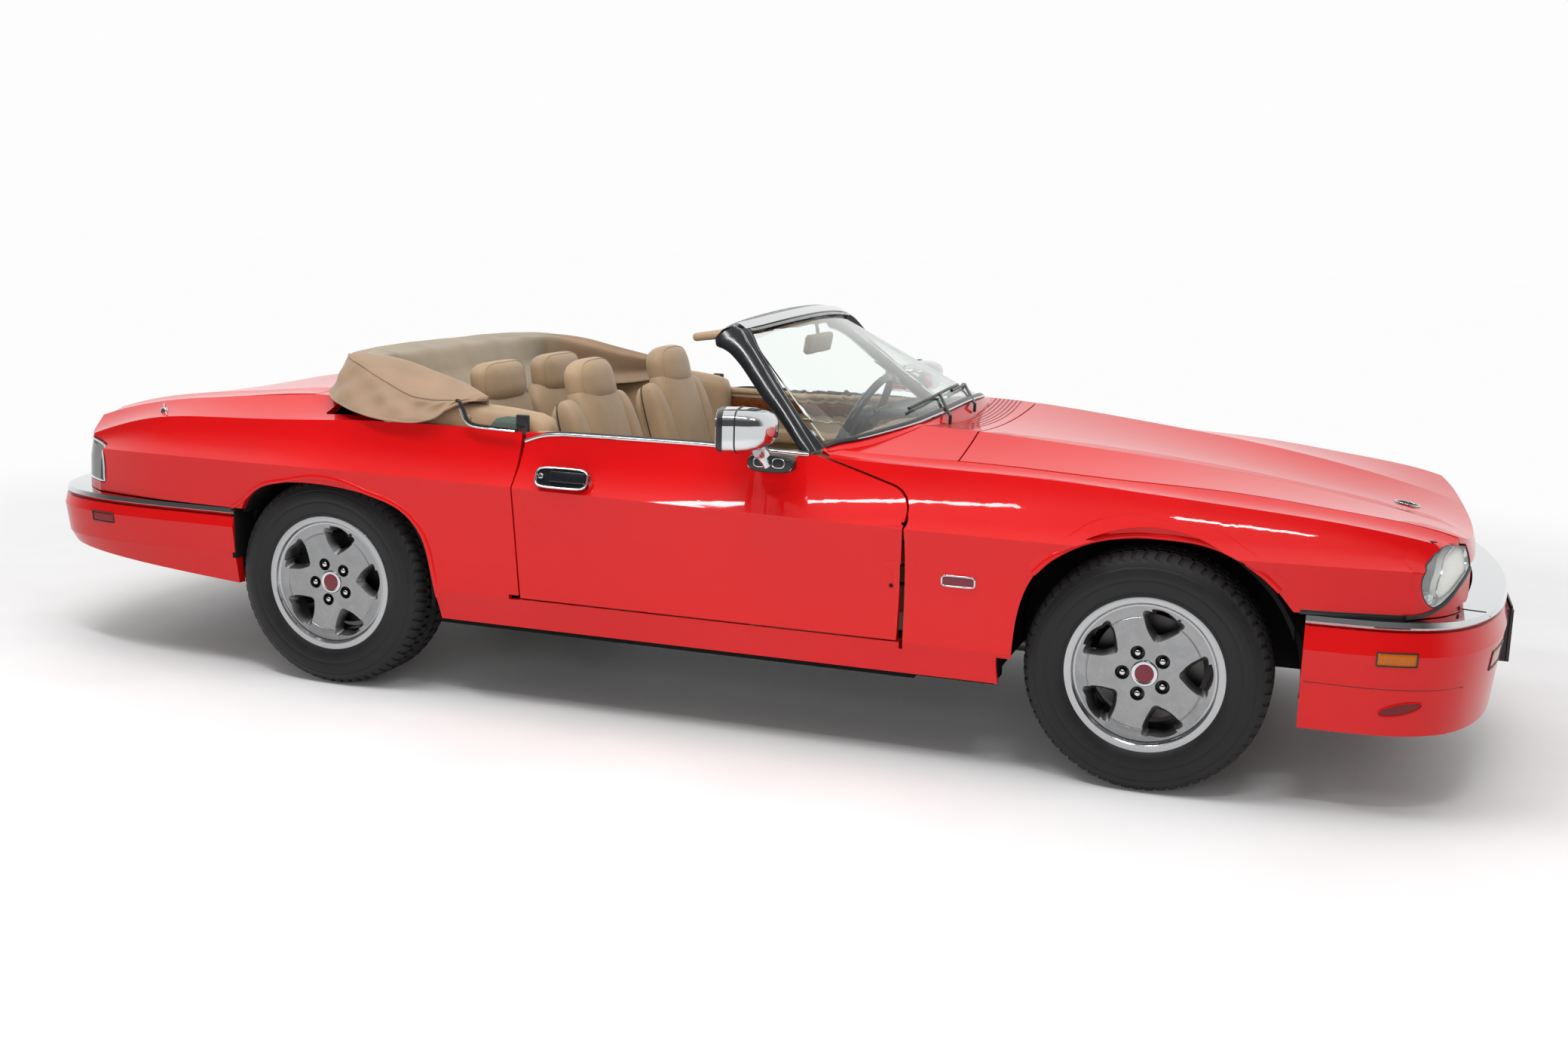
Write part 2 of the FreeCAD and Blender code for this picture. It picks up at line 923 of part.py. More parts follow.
FRONT_BUMPER = [
    (1866, -870),
    (1960, -868),
    (2070, -858),
    (2165, -826),
    (2245, -768),
    (2312, -668),
    (2362, -530),
    (2394, -350),
    (2412, -160),
    (2418, 0),
]
REAR_BUMPER = [
    (-1482, -872),
    (-1700, -872),
    (-1930, -864),
    (-2090, -838),
    (-2215, -788),
    (-2305, -705),
    (-2362, -590),
    (-2400, -430),
    (-2421, -220),
    (-2428.5, 0),
]
front_bumper = bumper(FRONT_BUMPER, [243, 378, 462, 524], [24, 10, 0, 12])
rear_bumper = bumper(
    REAR_BUMPER,
    [300, 398, 492, 524],
    [30, 12, 0, 8],
    [301, 318, 338, 352, 362, 368, 370, 372, 372, 372],
)
half_plate = size("plate_width") / 2
bracket = block(2390, size("half_length"), -half_plate, half_plate, 318, 318 + size("plate_height"))


# A lamp set in a wall: its opening and, a hair smaller, the lens.
def set_in(wall, opening, grow=0.4):
    box = opening.BoundBox
    small = block(
        box.XMin + grow, box.XMax - grow, box.YMin + grow, box.YMax - grow, box.ZMin + grow, box.ZMax - grow
    )
    return wall.cut(opening), largest(wall.common(small))


lenses = []
for opening in (block(2048, 2152, -1000, -700, 435, 474), block(2200, 2400, -570, -410, 385, 440)):
    for window in both_sides(opening):
        front_bumper, lens = set_in(front_bumper, window)
        lenses.append(lens)
rear_lenses = []
for window in both_sides(block(-2070, -1968, -1000, -700, 460, 496)):
    rear_bumper, lens = set_in(rear_bumper, window)
    rear_lenses.append(lens)
keep_shape("front_bumper", largest(fused([front_bumper, bracket])))
keep_shape("rear_bumper", largest(rear_bumper))


def blade(half, low, high, shelf):
    rows = [
        path_row(inward(half, 18), low),
        path_row(inward(half, 8), low + 14),
        path_row(inward(half, 14), high),
        path_row(inward(half, shelf), high + 4),
        path_row(inward(half, shelf), low),
    ]
    return skin_solid(rows, path_places(half))


keep_shape("bumper_blades", group([blade(FRONT_BUMPER, 524.3, 552, 105), blade(REAR_BUMPER, 524.3, 552, 100)]))
keep_shape("front_lamps", group(both_sides(lamp) + lenses))
keep_shape("rear_lamps", group(both_sides(rear_lamp) + rear_lenses))

# Grille between the headlamps: a frame with bars that follows the nose.
GRILLE = [(2262, -520), (2276, -380), (2284, -200), (2287, 0)]
GRILLE_BACK = [(2240, -520), (2240, -380), (2240, -200), (2240, 0)]


def ribbon(low, high, back):
    rear = [(x - back, y) for x, y in GRILLE]
    rows = [path_row(GRILLE, low), path_row(GRILLE, high), path_row(rear, high), path_row(rear, low)]
    return skin_solid(rows, path_places(GRILLE))


grille_parts = [ribbon(562, 572, 22), ribbon(654, 664, 22)]
for level in (586, 602, 618, 634):
    grille_parts.append(ribbon(level, level + 6, 14))
for y in (-520, 506):
    grille_parts.append(block(2241, 2262, y, y + 14, 562, 664))
for y in (-170, 150):
    grille_parts.append(block(2268, 2276, y, y + 20, 562, 664))
keep_shape("grille", largest(fused(grille_parts)))

# Cowl panel between bonnet and windscreen.
cowl_plan = plan_prism(
    500,
    1100,
    (size("bonnet_rear_x") - GAP, -700),
    [(size("bonnet_rear_x") - GAP + 4, 0), (size("bonnet_rear_x") - GAP, 700)],
    [(size("pillar_base_x"), 716)],
    [(690, 480), (730, 240), (740, 0), (730, -240), (690, -480), (size("pillar_base_x"), -716)],
)
cowl = body_shell.common(cowl_plan)
cowl = cowl.cut(right_wing).cut(mirrored(right_wing))
cowl = sorted(cowl.Solids, key=lambda s: s.Volume)[-1]
keep_shape("cowl_panel", cowl)

# Deck behind the rear seats, with the boot lid's hinge brackets.
deck_front = -1200.0
deck = body_shell.common(block(size("boot_front_x") + GAP, deck_front, -760, 760, 800, 1100))
deck = largest(deck.cut([quarter, mirrored(quarter)]))
keep_shape("rear_deck", largest(fused([deck] + boot_brackets())))

# Windscreen glass and frame.
GLASS_FOOT = [(475, -690, 895), (600, -612, 912), (680, -460, 934), (722, -240, 957), (732, 0, 965)]
GLASS_HEAD = [(165, -500, 1172), (183, -440, 1183), (208, -330, 1197), (228, -170, 1208), (235, 0, 1212)]


def whole(row):
    return row + [(x, -y, z) for x, y, z in reversed(row[:-1])]


def glass_rows(thickness):
    foot = whole(GLASS_FOOT)
    head = whole(GLASS_HEAD)
    back_foot = [(x - thickness, y * 0.995, z - 1) for x, y, z in foot]
    back_head = [(x - thickness, y * 0.995, z - 1) for x, y, z in head]
    return [foot, head, back_head, back_foot]


places = [index / 8 for index in range(9)]

def pillar():
    base = [(400, -735, 850), (470, -727, 858), (496, -690, 868), (430, -700, 850)]
    top = [(72, -566, 1172), (116, -556, 1198), (150, -508, 1192), (98, -508, 1166)]
    rows = []
    for low, high in zip(base, top):
        middle_point = tuple((a + b) / 2 for a, b in zip(low, high))
        rows.append([low, (middle_point[0] + 10, middle_point[1] - 4, middle_point[2]), high])
    return skin_solid(rows, [0.0, 0.5, 1.0])


def header():
    line = [(78, -552, 1172), (110, -440, 1192), (140, -300, 1208), (160, -150, 1218), (166, 0, 1222)]
    rear_low = whole(line)
    rear_top = [(x + 6, y, z + 18) for x, y, z in rear_low]
    front_top = [(x + 52, y, z + 16) for x, y, z in rear_low]
    front_low = [(x + 62, y, z - 6) for x, y, z in rear_low]
    return skin_solid([rear_low, rear_top, front_top, front_low], places)


frame = fused([header()] + both_sides(pillar()))
frame = frame.cut([right_wing, mirrored(right_wing), cowl, door_prism(GAP, -1000, 0), door_prism(GAP, 0, 1000)])
frame = sorted(frame.Solids, key=lambda s: s.Volume)[-1]
keep_shape("windscreen_frame", frame)
glass = skin_solid(glass_rows(size("glass_thickness")), places).cut([frame, cowl])
keep_shape("windscreen_glass", sorted(glass.Solids, key=lambda s: s.Volume)[-1])

# Folded soft top under its cover.
COVER_LOW = [(-595, -790, 905), (-780, -846, 882), (-930, -846, 886), (-1090, -800, 906), (-1205, -715, 924), (-1285, -560, 934), (-1318, -300, 942), (-1325, 0, 946)]
COVER_TOP = [(-595, -770, 962), (-760, -792, 962), (-920, -772, 985), (-1080, -722, 1020), (-1190, -640, 1046), (-1235, -480, 1049), (-1255, -240, 1053), (-1260, 0, 1056)]
COVER_LIP = [(-595, -748, 955), (-760, -740, 955), (-900, -705, 975), (-1010, -640, 1010), (-1060, -560, 1034), (-1080, -440, 1040), (-1085, -220, 1045), (-1085, 0, 1048)]
COVER_BASE = [(-595, -752, 905), (-780, -770, 894), (-900, -745, 898), (-1040, -665, 912), (-1105, -560, 920), (-1125, -440, 926), (-1130, -220, 932), (-1132, 0, 936)]
cover_places = [index / 14 for index in range(15)]
cover = skin_solid([whole(COVER_LOW), whole(COVER_TOP), whole(COVER_LIP), whole(COVER_BASE)], cover_places)
tongue = block(-1150, -1112, -480, 480, 880, 942)
keep_shape("hood_cover", largest(fused([cover, tongue])))


# Seats.
def pad(lengths, radius, at, pitch=0.0, turn=0.0):
    x, y, z = lengths
    form = Part.makeBox(x, y, z, Vector(-x / 2, -y / 2, -z / 2))
    form = form.makeFillet(radius, form.Edges)
    form.Placement = Placement(Vector(*at), Rotation(Vector(0, 1, 0), pitch))
    return form


def front_seat(y):
    return fused_in_turn(
        [
            pad((520, 310, 130), 40, (-60, y, 420), -6),
            pad((500, 90, 160), 38, (-60, y - 190, 425), -6),
            pad((500, 90, 160), 38, (-60, y + 190, 425), -6),
            block(-290, 160, y - 180, y + 180, FLOOR_TOP, 400),
            pad((120, 310, 490), 45, (-395, y, 690), -17),
            pad((150, 90, 490), 42, (-395, y - 190, 690), -17),
            pad((150, 90, 490), 42, (-395, y + 190, 690), -17),
            pad((100, 270, 130), 45, (-468, y, 985), -14),
        ]
    )


FLOOR_TOP = size("floor_z") + size("floor_thickness")
PAN_TOP = 400.0
keep_shape("front_seats", group([front_seat(-size("seat_centre_y")), front_seat(size("seat_centre_y"))]))
rear_pads = []
for y in (-315, 315):
    rear_pads.append(
        fused(
            [
                pad((360, 440, 120), 40, (-800, y, 480), -8),
                pad((110, 440, 380), 40, (-985, y, 700), -14),
                pad((95, 270, 130), 40, (-1010, y, 945), -10),
                block(-940, -680, y - 180, y + 180, PAN_TOP, 460),
            ]
        )
    )
side_pad = pad((390, 84, 230), 30, (-690, -703, 785))
rear_pads += both_sides(side_pad)
keep_shape("rear_seats", group(rear_pads))

# Dashboard, console and steering wheel.
dash = side_prism(
    -715,
    715,
    (779.7, 560),
    [(600, 560)],
    [(420, 600)],
    [(388, 700)],
    [(400, 800), (470, 872)],
    [(560, 884)],
    [(640, 872)],
    [(779.7, 840)],
)
dash = inside(dash)
rake = math.radians(size("steering_rake"))
wheel_centre = Vector(285, size("seat_centre_y"), 831)
column = Vector(-math.sin(rake), 0, math.cos(rake))
socket = Part.makeCylinder(14.4, 220, wheel_centre - column * 260, column)
dash = largest(dash.cut(socket))
dash = largest(dash.cut(fused([frame, cowl])))
keep_shape("dashboard", dash)
keep_shape("console", block(-420, 400, -80, 80, size("tunnel_z"), 560))
ring_radius = size("steering_radius") - size("steering_grip")
rim_ring = Part.makeTorus(ring_radius, size("steering_grip"), wheel_centre, column)
hub = Part.makeCylinder(60, 40, wheel_centre - column * 40, column)
steering_spoke = Part.makeBox(2 * ring_radius, 40, 16, Vector(-ring_radius, -20, -8))
upright = Rotation(Vector(0, 0, 1), column)
steering_spoke.Placement = Placement(wheel_centre - column * 14, Rotation(upright.multVec(Vector(0, 0, 1)), 90).multiply(upright))
steering_shaft = Part.makeCylinder(14, 190, wheel_centre - column * 210, column)
keep_shape("steering_wheel", largest(fused([rim_ring, hub, steering_spoke, steering_shaft])))

# Interior mirror and sun visors on the windscreen header.
stem = rod(6, (222, 0, 1140), (205, 0, 1225)).cut(frame)
stem = sorted(stem.Solids, key=lambda solid: solid.CenterOfMass.z)[0]
mirror_in = fused([pad((24, 240, 64), 10, (222, 0, 1126), 10), stem])
fittings = [mirror_in]
for y in (-300, 300):
    hinge = rod(5, (91, y, 1173), (165, y, 1212)).cut(frame)
    hinge = sorted(hinge.Solids, key=lambda solid: solid.CenterOfMass.x)[0]
    fittings.append(fused([pad((130, 380, 16), 6, (36, y, 1169), -8), hinge]))
fittings = group(fittings)
fittings.translate(Vector(-0.4, 0, -0.4))
keep_shape("windscreen_fittings", fittings)


# Wipers lie on the glass above the cowl.
def on_glass(u, v, lift):
    foot, head = whole(GLASS_FOOT), whole(GLASS_HEAD)
    index = min(int(u), len(foot) - 2)
    part = u - index
    point = []
    for axis in range(3):
        low = foot[index][axis] * (1 - part) + foot[index + 1][axis] * part
        high = head[index][axis] * (1 - part) + head[index + 1][axis] * part
        point.append(low * (1 - v) + high * v)
    return (point[0] + 0.45 * lift, point[1], point[2] + 0.9 * lift)


def bent_rod(radius, points):
    parts = [rod(radius, a, b) for a, b in zip(points, points[1:])]
    parts += [Part.makeSphere(radius, Vector(*point)) for point in points[1:-1]]
    return fused(parts)


def wiper(start, end, spindle):
    blade_line = [on_glass(start + (end - start) * step / 4, 0.09 + 0.03 * step / 4, 12.0) for step in range(5)]
    middle = blade_line[2]
    arm = [spindle, (spindle[0], spindle[1], spindle[2] + 26), middle]
    shape = fused([bent_rod(5, blade_line), bent_rod(5, arm)])
    shape = largest(shape.cut(cowl))
    shape.translate(Vector(0, 0, 0.3))
    return shape


keep_shape("wipers", group([wiper(2.2, 4.6, (757, -300, 920)), wiper(3.9, 6.2, (766, 0, 930))]))


# Structure. A piece that meets a curved panel is cut to it and drawn back a hair.
def drawn_back(shape, panel, shift):
    shape = shape.cut(panel)
    shape = max(shape.Solids, key=lambda solid: -shift * solid.CenterOfMass.x if shift > 0 else solid.Volume)
    shape = shape.copy()
    shape.translate(Vector(shift, 0, 0))
    return shape


AXLE_Z = size("tyre_radius")
WELL = size("well_radius")
RAIL_Y = 432.0


def wheel_house(x, radius, wall_y):
    house = rod(radius + 12, (x, -1000, AXLE_Z), (x, wall_y, AXLE_Z))
    house = house.cut(rod(radius, (x, -1001, AXLE_Z), (x, wall_y - 12, AXLE_Z)))
    house = house.cut(block(x - 500, x + 500, -1001, wall_y + 1, -100, 300))
    house = house.cut(block(x - 180, x + 180, wall_y - 13, wall_y + 1, 0, 520))
    house = house.cut(block(1840, 2600, -1001, -765, 0, 562)).cut(block(-2600, -1455, -1001, -765, 0, 562))
    return inside(house)


def front_structure():
    panel_x = FRONT_PANEL_X - 5
    centre = [
        block(panel_x, panel_x + 20, -560, 560, 330, 585),
        block(FRONT_AXLE - 110, FRONT_AXLE + 110, -RAIL_Y, RAIL_Y, 190, size("engine_base_z")),
    ]
    right = [
        wheel_house(FRONT_AXLE, WELL, -430),
        block(size("firewall_x"), panel_x + 5, -442, -430, 330, 640).cut(
            block(FRONT_AXLE - 180, FRONT_AXLE + 180, -450, -420, 0, 520)
        ),
        block(size("firewall_x"), panel_x + 5, -RAIL_Y, -355, 330, 420),
        block(FRONT_AXLE - 110, FRONT_AXLE + 110, -RAIL_Y, -355, 190, 652),
        block(FRONT_AXLE - 60, FRONT_AXLE + 60, -560, -400, 640, 652),
        block(2000, 2186, -600, -430, 604, 616),
        inside(block(850.3, 1270, -1000, -441, 690, 702)),
    ]
    lamp_stay = inside(block(2100, 2290, -740, -526, 604, 616)).cut(lamp)
    lamp_stay = largest(lamp_stay)
    lamp_stay.translate(Vector(-0.5, 0.5, 0))
    right.append(lamp_stay)
    bumper_stay = block(panel_x + 5, 2400, -405, -355, 390, 450).cut(front_bumper)
    bumper_stay = sorted(bumper_stay.Solids, key=lambda solid: solid.CenterOfMass.x)[0]
    bumper_stay.translate(Vector(-0.4, 0, 0))
    right.append(bumper_stay)
    right.append(block(panel_x + 10, 2267.7, -168, -152, 573, 585))
    right_side = fused(right)
    return fused(centre + both_sides(right_side) + bonnet_brackets())


def cabin_floor():
    low, top = size("floor_z"), FLOOR_TOP
    front = size("firewall_x") - 0.3
    centre = [
        block(-760, front, -785, 785, low, top),
        block(-760, front, -size("tunnel_width") / 2, size("tunnel_width") / 2, low, size("tunnel_z")),
        inside(block(front - 19.7, front, -720, 720, low, 1000)),
        block(-985, -640, -538, 538, low + 30, PAN_TOP),
    ]
    centre.append(block(-780, -640, -538, 538, low, PAN_TOP))
    centre.append(block(-1001, -980, -538, 538, PAN_TOP - 19, PAN_TOP - 1))
    centre.append(block(-1001, -985, -538, 538, PAN_TOP - 19, PAN_TOP + 37))
    centre.append(block(-1099.7, -985, -538, 538, PAN_TOP + 21, PAN_TOP + 37))
    right = [
        block(-720, 1040, -819.7, -700, top - 1, 352),
        inside(block(-530, -464, -1000, -746, 300, 835)),
        inside(block(-900, -464, -757, -745, 330, 850)).cut(
            rod(392.3, (REAR_AXLE, -1000, AXLE_Z), (REAR_AXLE, -500, AXLE_Z))
        ),
    ]
    right += door_post()
    return fused(centre + both_sides(fused(right)))


def boot_tub():
    front, rear = -1130.0, -2190.0
    floor_low, floor_top = size("boot_floor_z") - 20, size("boot_floor_z")
    wall_y = -540.0
    centre = [
        block(rear, front + 20, -552, 552, floor_low, floor_top),
        block(front, front + 30, -552, 552, floor_low, 880),
        block(rear, rear + 12, -640, 640, 330, 588),
        inside(block(-1212, -1200, -560, 560, 790, 1000)),
        block(-1212, front + 20, -560, 560, 790, 802),
    ]
    right = [
        wheel_house(REAR_AXLE, 380.0, wall_y),
        inside(block(rear, front + 20, -552, wall_y, floor_low, 690)).cut(
            block(REAR_AXLE - 180, REAR_AXLE + 180, -560, -530, 0, 520)
        ),
        block(REAR_AXLE - 60, REAR_AXLE + 60, -622, -540, 640, 652),
    ]
    lamp_stay = inside(block(-2250, -2060, -740, -545, 600, 612)).cut(rear_lamp)
    lamp_stay = largest(lamp_stay)
    lamp_stay.translate(Vector(0.5, 0.5, 0))
    right.append(lamp_stay)
    right.append(block(-2183, -2060, -632, -540, 600, 612))
    bumper_stay = block(-2420, rear + 5, -450, -400, 400, 460).cut(rear_bumper)
    bumper_stay = sorted(bumper_stay.Solids, key=lambda solid: solid.CenterOfMass.x)[-1]
    bumper_stay.translate(Vector(0.4, 0, 0))
    right.append(bumper_stay)
    return fused(centre + both_sides(fused(right)))


keep_shape("front_structure", front_structure())
keep_shape("cabin_floor", cabin_floor())
keep_shape("boot_tub", boot_tub())

engine_half = size("engine_width") / 2
engine_top = size("engine_base_z") + size("engine_height")
keep_shape("engine", block(840, 840 + size("engine_length"), -engine_half, engine_half, size("engine_base_z"), engine_top))

pipe_radius = size("exhaust_radius")
pipe = bent_rod(
    pipe_radius,
    [
        (1100, -110, size("engine_base_z")),
        (1100, -110, 204),
        (-1400, -110, 204),
        (-1700, -450, 300),
        (-2380, -450, 300),
    ],
)
muffler = rod(68, (-1720, -450, 300), (-2120, -450, 300))
hanger = block(-1930, -1910, -462, -438, 340, size("boot_floor_z") - 20)
pipe = fused([pipe, muffler, hanger])
pipe = pipe.cut(rod(pipe_radius - 3, (-2381, -450, 300), (-2300, -450, 300)))
keep_shape("exhaust", group(both_sides(pipe)))

# Suspension arms, rear stub axles and half shafts.
KINGPIN_Y = -(size("front_track") / 2 - size("kingpin_inset"))
PIN = 12.0


def arm(low, eye_z):
    plan = plan_prism(
        low,
        low + 16,
        (FRONT_AXLE - 90, -RAIL_Y - 0.3),
        [(FRONT_AXLE + 90, -RAIL_Y - 0.3)],
        [(FRONT_AXLE + 28, KINGPIN_Y)],
        [(FRONT_AXLE - 28, KINGPIN_Y)],
    )
    boss = rod(30, (FRONT_AXLE, KINGPIN_Y, low), (FRONT_AXLE, KINGPIN_Y, low + 16))
    hole = rod(PIN + size("spindle_clearance"), (FRONT_AXLE, KINGPIN_Y, low - 1), (FRONT_AXLE, KINGPIN_Y, low + 17))
    return fused([plan, boss]).cut(hole)


def front_arms():
    lower = arm(AXLE_Z - 128, 0)
    upper = arm(AXLE_Z + 110, 0).cut(rod(40, (FRONT_AXLE, -520, 400), (FRONT_AXLE, -520, 500)))
    damper = rod(26, (FRONT_AXLE, -520, AXLE_Z - 120), (FRONT_AXLE, -520, 639.7))
    return [fused([lower, damper]), upper]


def rear_arm():
    hub_y = -size("rear_track") / 2
    spindle_r = size("centre_bore") - size("spindle_clearance")
    parts = [
        rod(60, (REAR_AXLE, hub_y + 33, AXLE_Z), (REAR_AXLE, hub_y + 72, AXLE_Z)),
        rod(spindle_r, (REAR_AXLE, hub_y - 74, AXLE_Z), (REAR_AXLE, hub_y + 60, AXLE_Z)),
        rod(20, (REAR_AXLE, hub_y + 60, AXLE_Z), (REAR_AXLE, -130, AXLE_Z)),
        block(REAR_AXLE - 25, REAR_AXLE + 25, hub_y + 62, -560, 240, 300),
        block(REAR_AXLE - 25, -780.3, -600, -560, 240, 290),
        rod(26, (REAR_AXLE, -590, 290), (REAR_AXLE, -590, 639.7)),
    ]
    return fused(parts)


differential = block(REAR_AXLE - 125, REAR_AXLE + 125, -135, 135, 245, size("boot_floor_z") - 20.3)
rear_axle = fused(both_sides(rear_arm()) + [differential])
front_sets = []
for piece in front_arms():
    front_sets += both_sides(piece)
keep_shape("suspension", group([rear_axle] + front_sets))


# Knuckles: an upright between the ball joints, with the stub axle.
def knuckle():
    hub_y = -size("front_track") / 2
    spindle_r = size("centre_bore") - size("spindle_clearance")
    low, high = AXLE_Z - size("kingpin_low"), AXLE_Z + size("kingpin_high")
    return fused(
        [
            rod(size("kingpin_radius"), (FRONT_AXLE, KINGPIN_Y, low), (FRONT_AXLE, KINGPIN_Y, high)),
            rod(PIN, (FRONT_AXLE, KINGPIN_Y, low - 26), (FRONT_AXLE, KINGPIN_Y, high + 24)),
            rod(size("carrier_radius"), (FRONT_AXLE, KINGPIN_Y, AXLE_Z), (FRONT_AXLE, hub_y + 33, AXLE_Z)),
            rod(spindle_r, (FRONT_AXLE, KINGPIN_Y, AXLE_Z), (FRONT_AXLE, hub_y - 74, AXLE_Z)),
        ]
    )


right_knuckle = knuckle()
keep_shape("knuckle_right", right_knuckle)
keep_shape("knuckle_left", mirrored(right_knuckle))


# Wheels.
def sketch_on(body, role, name):
    plane = [item for item in body.Origin.OriginFeatures if item.Role == role][0]
    sketch = body.newObject("Sketcher::SketchObject", name)
    sketch.AttachmentSupport = (plane, [""])
    sketch.MapMode = "FlatFace"
    return sketch


def closed_sketch(sketch, points):
    for a, b in zip(points, points[1:] + points[:1]):
        sketch.addGeometry(Part.LineSegment(Vector(*a, 0), Vector(*b, 0)), False)


def tyre(name, placement):
    body = doc.addObject("PartDesign::Body", name)
    sketch = sketch_on(body, "XZ_Plane", name + "_section")
    wide = size("tyre_width") / 2
    bead = size("rim_width") / 2
    seat = size("bead_radius") + size("running_clearance")
    crown = size("tyre_radius")
    edge = size("tread_width") / 2
    shoulder = crown - size("shoulder_drop")
    belly = seat + 0.45 * (crown - seat)
    half = [(bead - 2, seat), (wide, belly), (wide - 10, shoulder), (edge, crown)]
    points = half + [(-w, r) for w, r in reversed(half)]
    closed_sketch(sketch, points)
    turn = body.newObject("PartDesign::Revolution", name + "_turn")
    turn.Profile = sketch
    turn.ReferenceAxis = (sketch, ["H_Axis"])
    turn.Angle = 360
    doc.recompute()
    body.Placement = placement
    return keep(name, body)


def rim(name, placement):
    body = doc.addObject("PartDesign::Body", name)
    sketch = sketch_on(body, "XZ_Plane", name + "_section")
    bead = size("rim_width") / 2
    seat = size("bead_radius")
    lip = size("flange_radius")
    wall = size("rim_wall")
    flange = bead + size("flange_width")
    well = seat - size("well_drop")
    face = size("spoke_face")
    depth = size("spoke_depth")
    hub_r = size("hub_radius")
    bore = size("centre_bore")
    disc = size("disc_place") - size("disc_thickness") / 2
    disc_face = size("disc_place") + size("disc_thickness") / 2
    points = [
        (disc, bore),
        (disc, size("disc_radius")),
        (disc_face, size("disc_radius")),
        (disc_face, hub_r - 4),
        (size("hub_back"), hub_r - 4),
        (face - depth, hub_r),
        (face - depth, seat - wall - 22),
        (20, well - wall),
        (-40, well - wall),
        (-bead + 10, seat - wall),
        (-flange, seat - wall + 2),
        (-flange, lip),
        (-flange + 4, lip),
        (-bead, seat),
        (-bead + 40, seat),
        (-bead + 60, well),
        (20, well),
        (45, seat),
        (bead, seat),
        (flange - 4, lip),
        (flange, lip),
        (flange, lip - 10),
        (face, seat - wall),
        (face - 4, seat - wall - 10),
        (size("hub_face"), hub_r),
        (size("hub_face"), size("cap_radius")),
        (size("hub_face") + size("cap_height"), size("cap_radius") - 3),
        (size("hub_face") + size("cap_height"), 0),
        (78, 0),
        (78, bore),
    ]
    closed_sketch(sketch, points)
    turn = body.newObject("PartDesign::Revolution", name + "_turn")
    turn.Profile = sketch
    turn.ReferenceAxis = (sketch, ["H_Axis"])
    turn.Angle = 360
    doc.recompute()

    window = sketch_on(body, "YZ_Plane", name + "_window")
    angle = math.radians(size("window_angle"))
    outer_r = size("window_outer")
    inner_r = size("window_inner")
    window.addGeometry(
        Part.Arc(
            Vector(-outer_r * math.sin(angle), outer_r * math.cos(angle), 0),
            Vector(0, outer_r, 0),
            Vector(outer_r * math.sin(angle), outer_r * math.cos(angle), 0),
        ),
        False,
    )
    right = Vector(outer_r * math.sin(angle), outer_r * math.cos(angle), 0)
    left = Vector(-right.x, right.y, 0)
    tip_r = Vector(16, inner_r, 0)
    tip_l = Vector(-16, inner_r, 0)
    window.addGeometry(Part.LineSegment(right, tip_r), False)
    window.addGeometry(Part.Arc(tip_r, Vector(0, inner_r - 8, 0), tip_l), False)
    window.addGeometry(Part.LineSegment(tip_l, left), False)
    pocket = body.newObject("PartDesign::Pocket", name + "_windows")
    pocket.Profile = window
    pocket.Type = 0
    pocket.Length = 130.0
    pocket.Reversed = True
    doc.recompute()
    if body.Shape.Volume > 0.999 * turn.Shape.Volume:
        pocket.Reversed = False
        doc.recompute()
    around = body.newObject("PartDesign::PolarPattern", name + "_windows_around")
    around.Originals = [pocket]
    around.Axis = (sketch, ["H_Axis"])
    around.Angle = 360
    around.setExpression("Occurrences", "Sizes.spoke_count")
    body.Tip = around
    doc.recompute()

    lug = sketch_on(body, "YZ_Plane", name + "_lug")
    lug.AttachmentOffset = Placement(Vector(0, 0, size("hub_face") - size("lug_depth")), Rotation())
    centre = Vector(0, -size("lug_circle") / 2, 0)
    lug.addGeometry(Part.Circle(centre, Vector(0, 0, 1), size("lug_radius")), False)
    seats = body.newObject("PartDesign::Pocket", name + "_lugs")
    seats.Profile = lug
    seats.Type = 0
    seats.Length = 40.0
    seats.Reversed = True
    doc.recompute()
    lugs_around = body.newObject("PartDesign::PolarPattern", name + "_lugs_around")
    lugs_around.Originals = [seats]
    lugs_around.Axis = (sketch, ["H_Axis"])
    lugs_around.Angle = 360
    lugs_around.setExpression("Occurrences", "Sizes.spoke_count")
    body.Tip = lugs_around
    doc.recompute()
    body.Placement = placement
    return keep(name, body)


def wheel_place(x, y):
    side = 90 if y > 0 else -90
    return Placement(Vector(x, y, size("tyre_radius")), Rotation(Vector(0, 0, 1), side))


WHEELS = {
    "front_right": (FRONT_AXLE, -size("front_track") / 2),
    "front_left": (FRONT_AXLE, size("front_track") / 2),
    "rear_right": (REAR_AXLE, -size("rear_track") / 2),
    "rear_left": (REAR_AXLE, size("rear_track") / 2),
}
for corner, (x, y) in WHEELS.items():
    tyre("tyre_" + corner, wheel_place(x, y))
    rim("rim_" + corner, wheel_place(x, y))

doc.recompute()
os.makedirs("parts", exist_ok=True)
for item in doc.Objects:
    states = [state for state in item.State if state in ("Invalid", "Error")]
    if states:
        raise RuntimeError(f"{item.Label} is {states}")
for name, item in nodes.items():
    shape = item.Shape
    if shape.isNull() or not shape.isValid():
        print("BAD", name)
    print(name, len(shape.Solids), round(shape.Volume / 1e6, 3))
for name, item in nodes.items():
    item.Shape.exportStep(f"parts/{name}.step")
print(len(nodes), "nodes")
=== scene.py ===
import math
from functools import partial

import bmesh
import bpy
from mathutils import Matrix, Vector
from mathutils.bvhtree import BVHTree


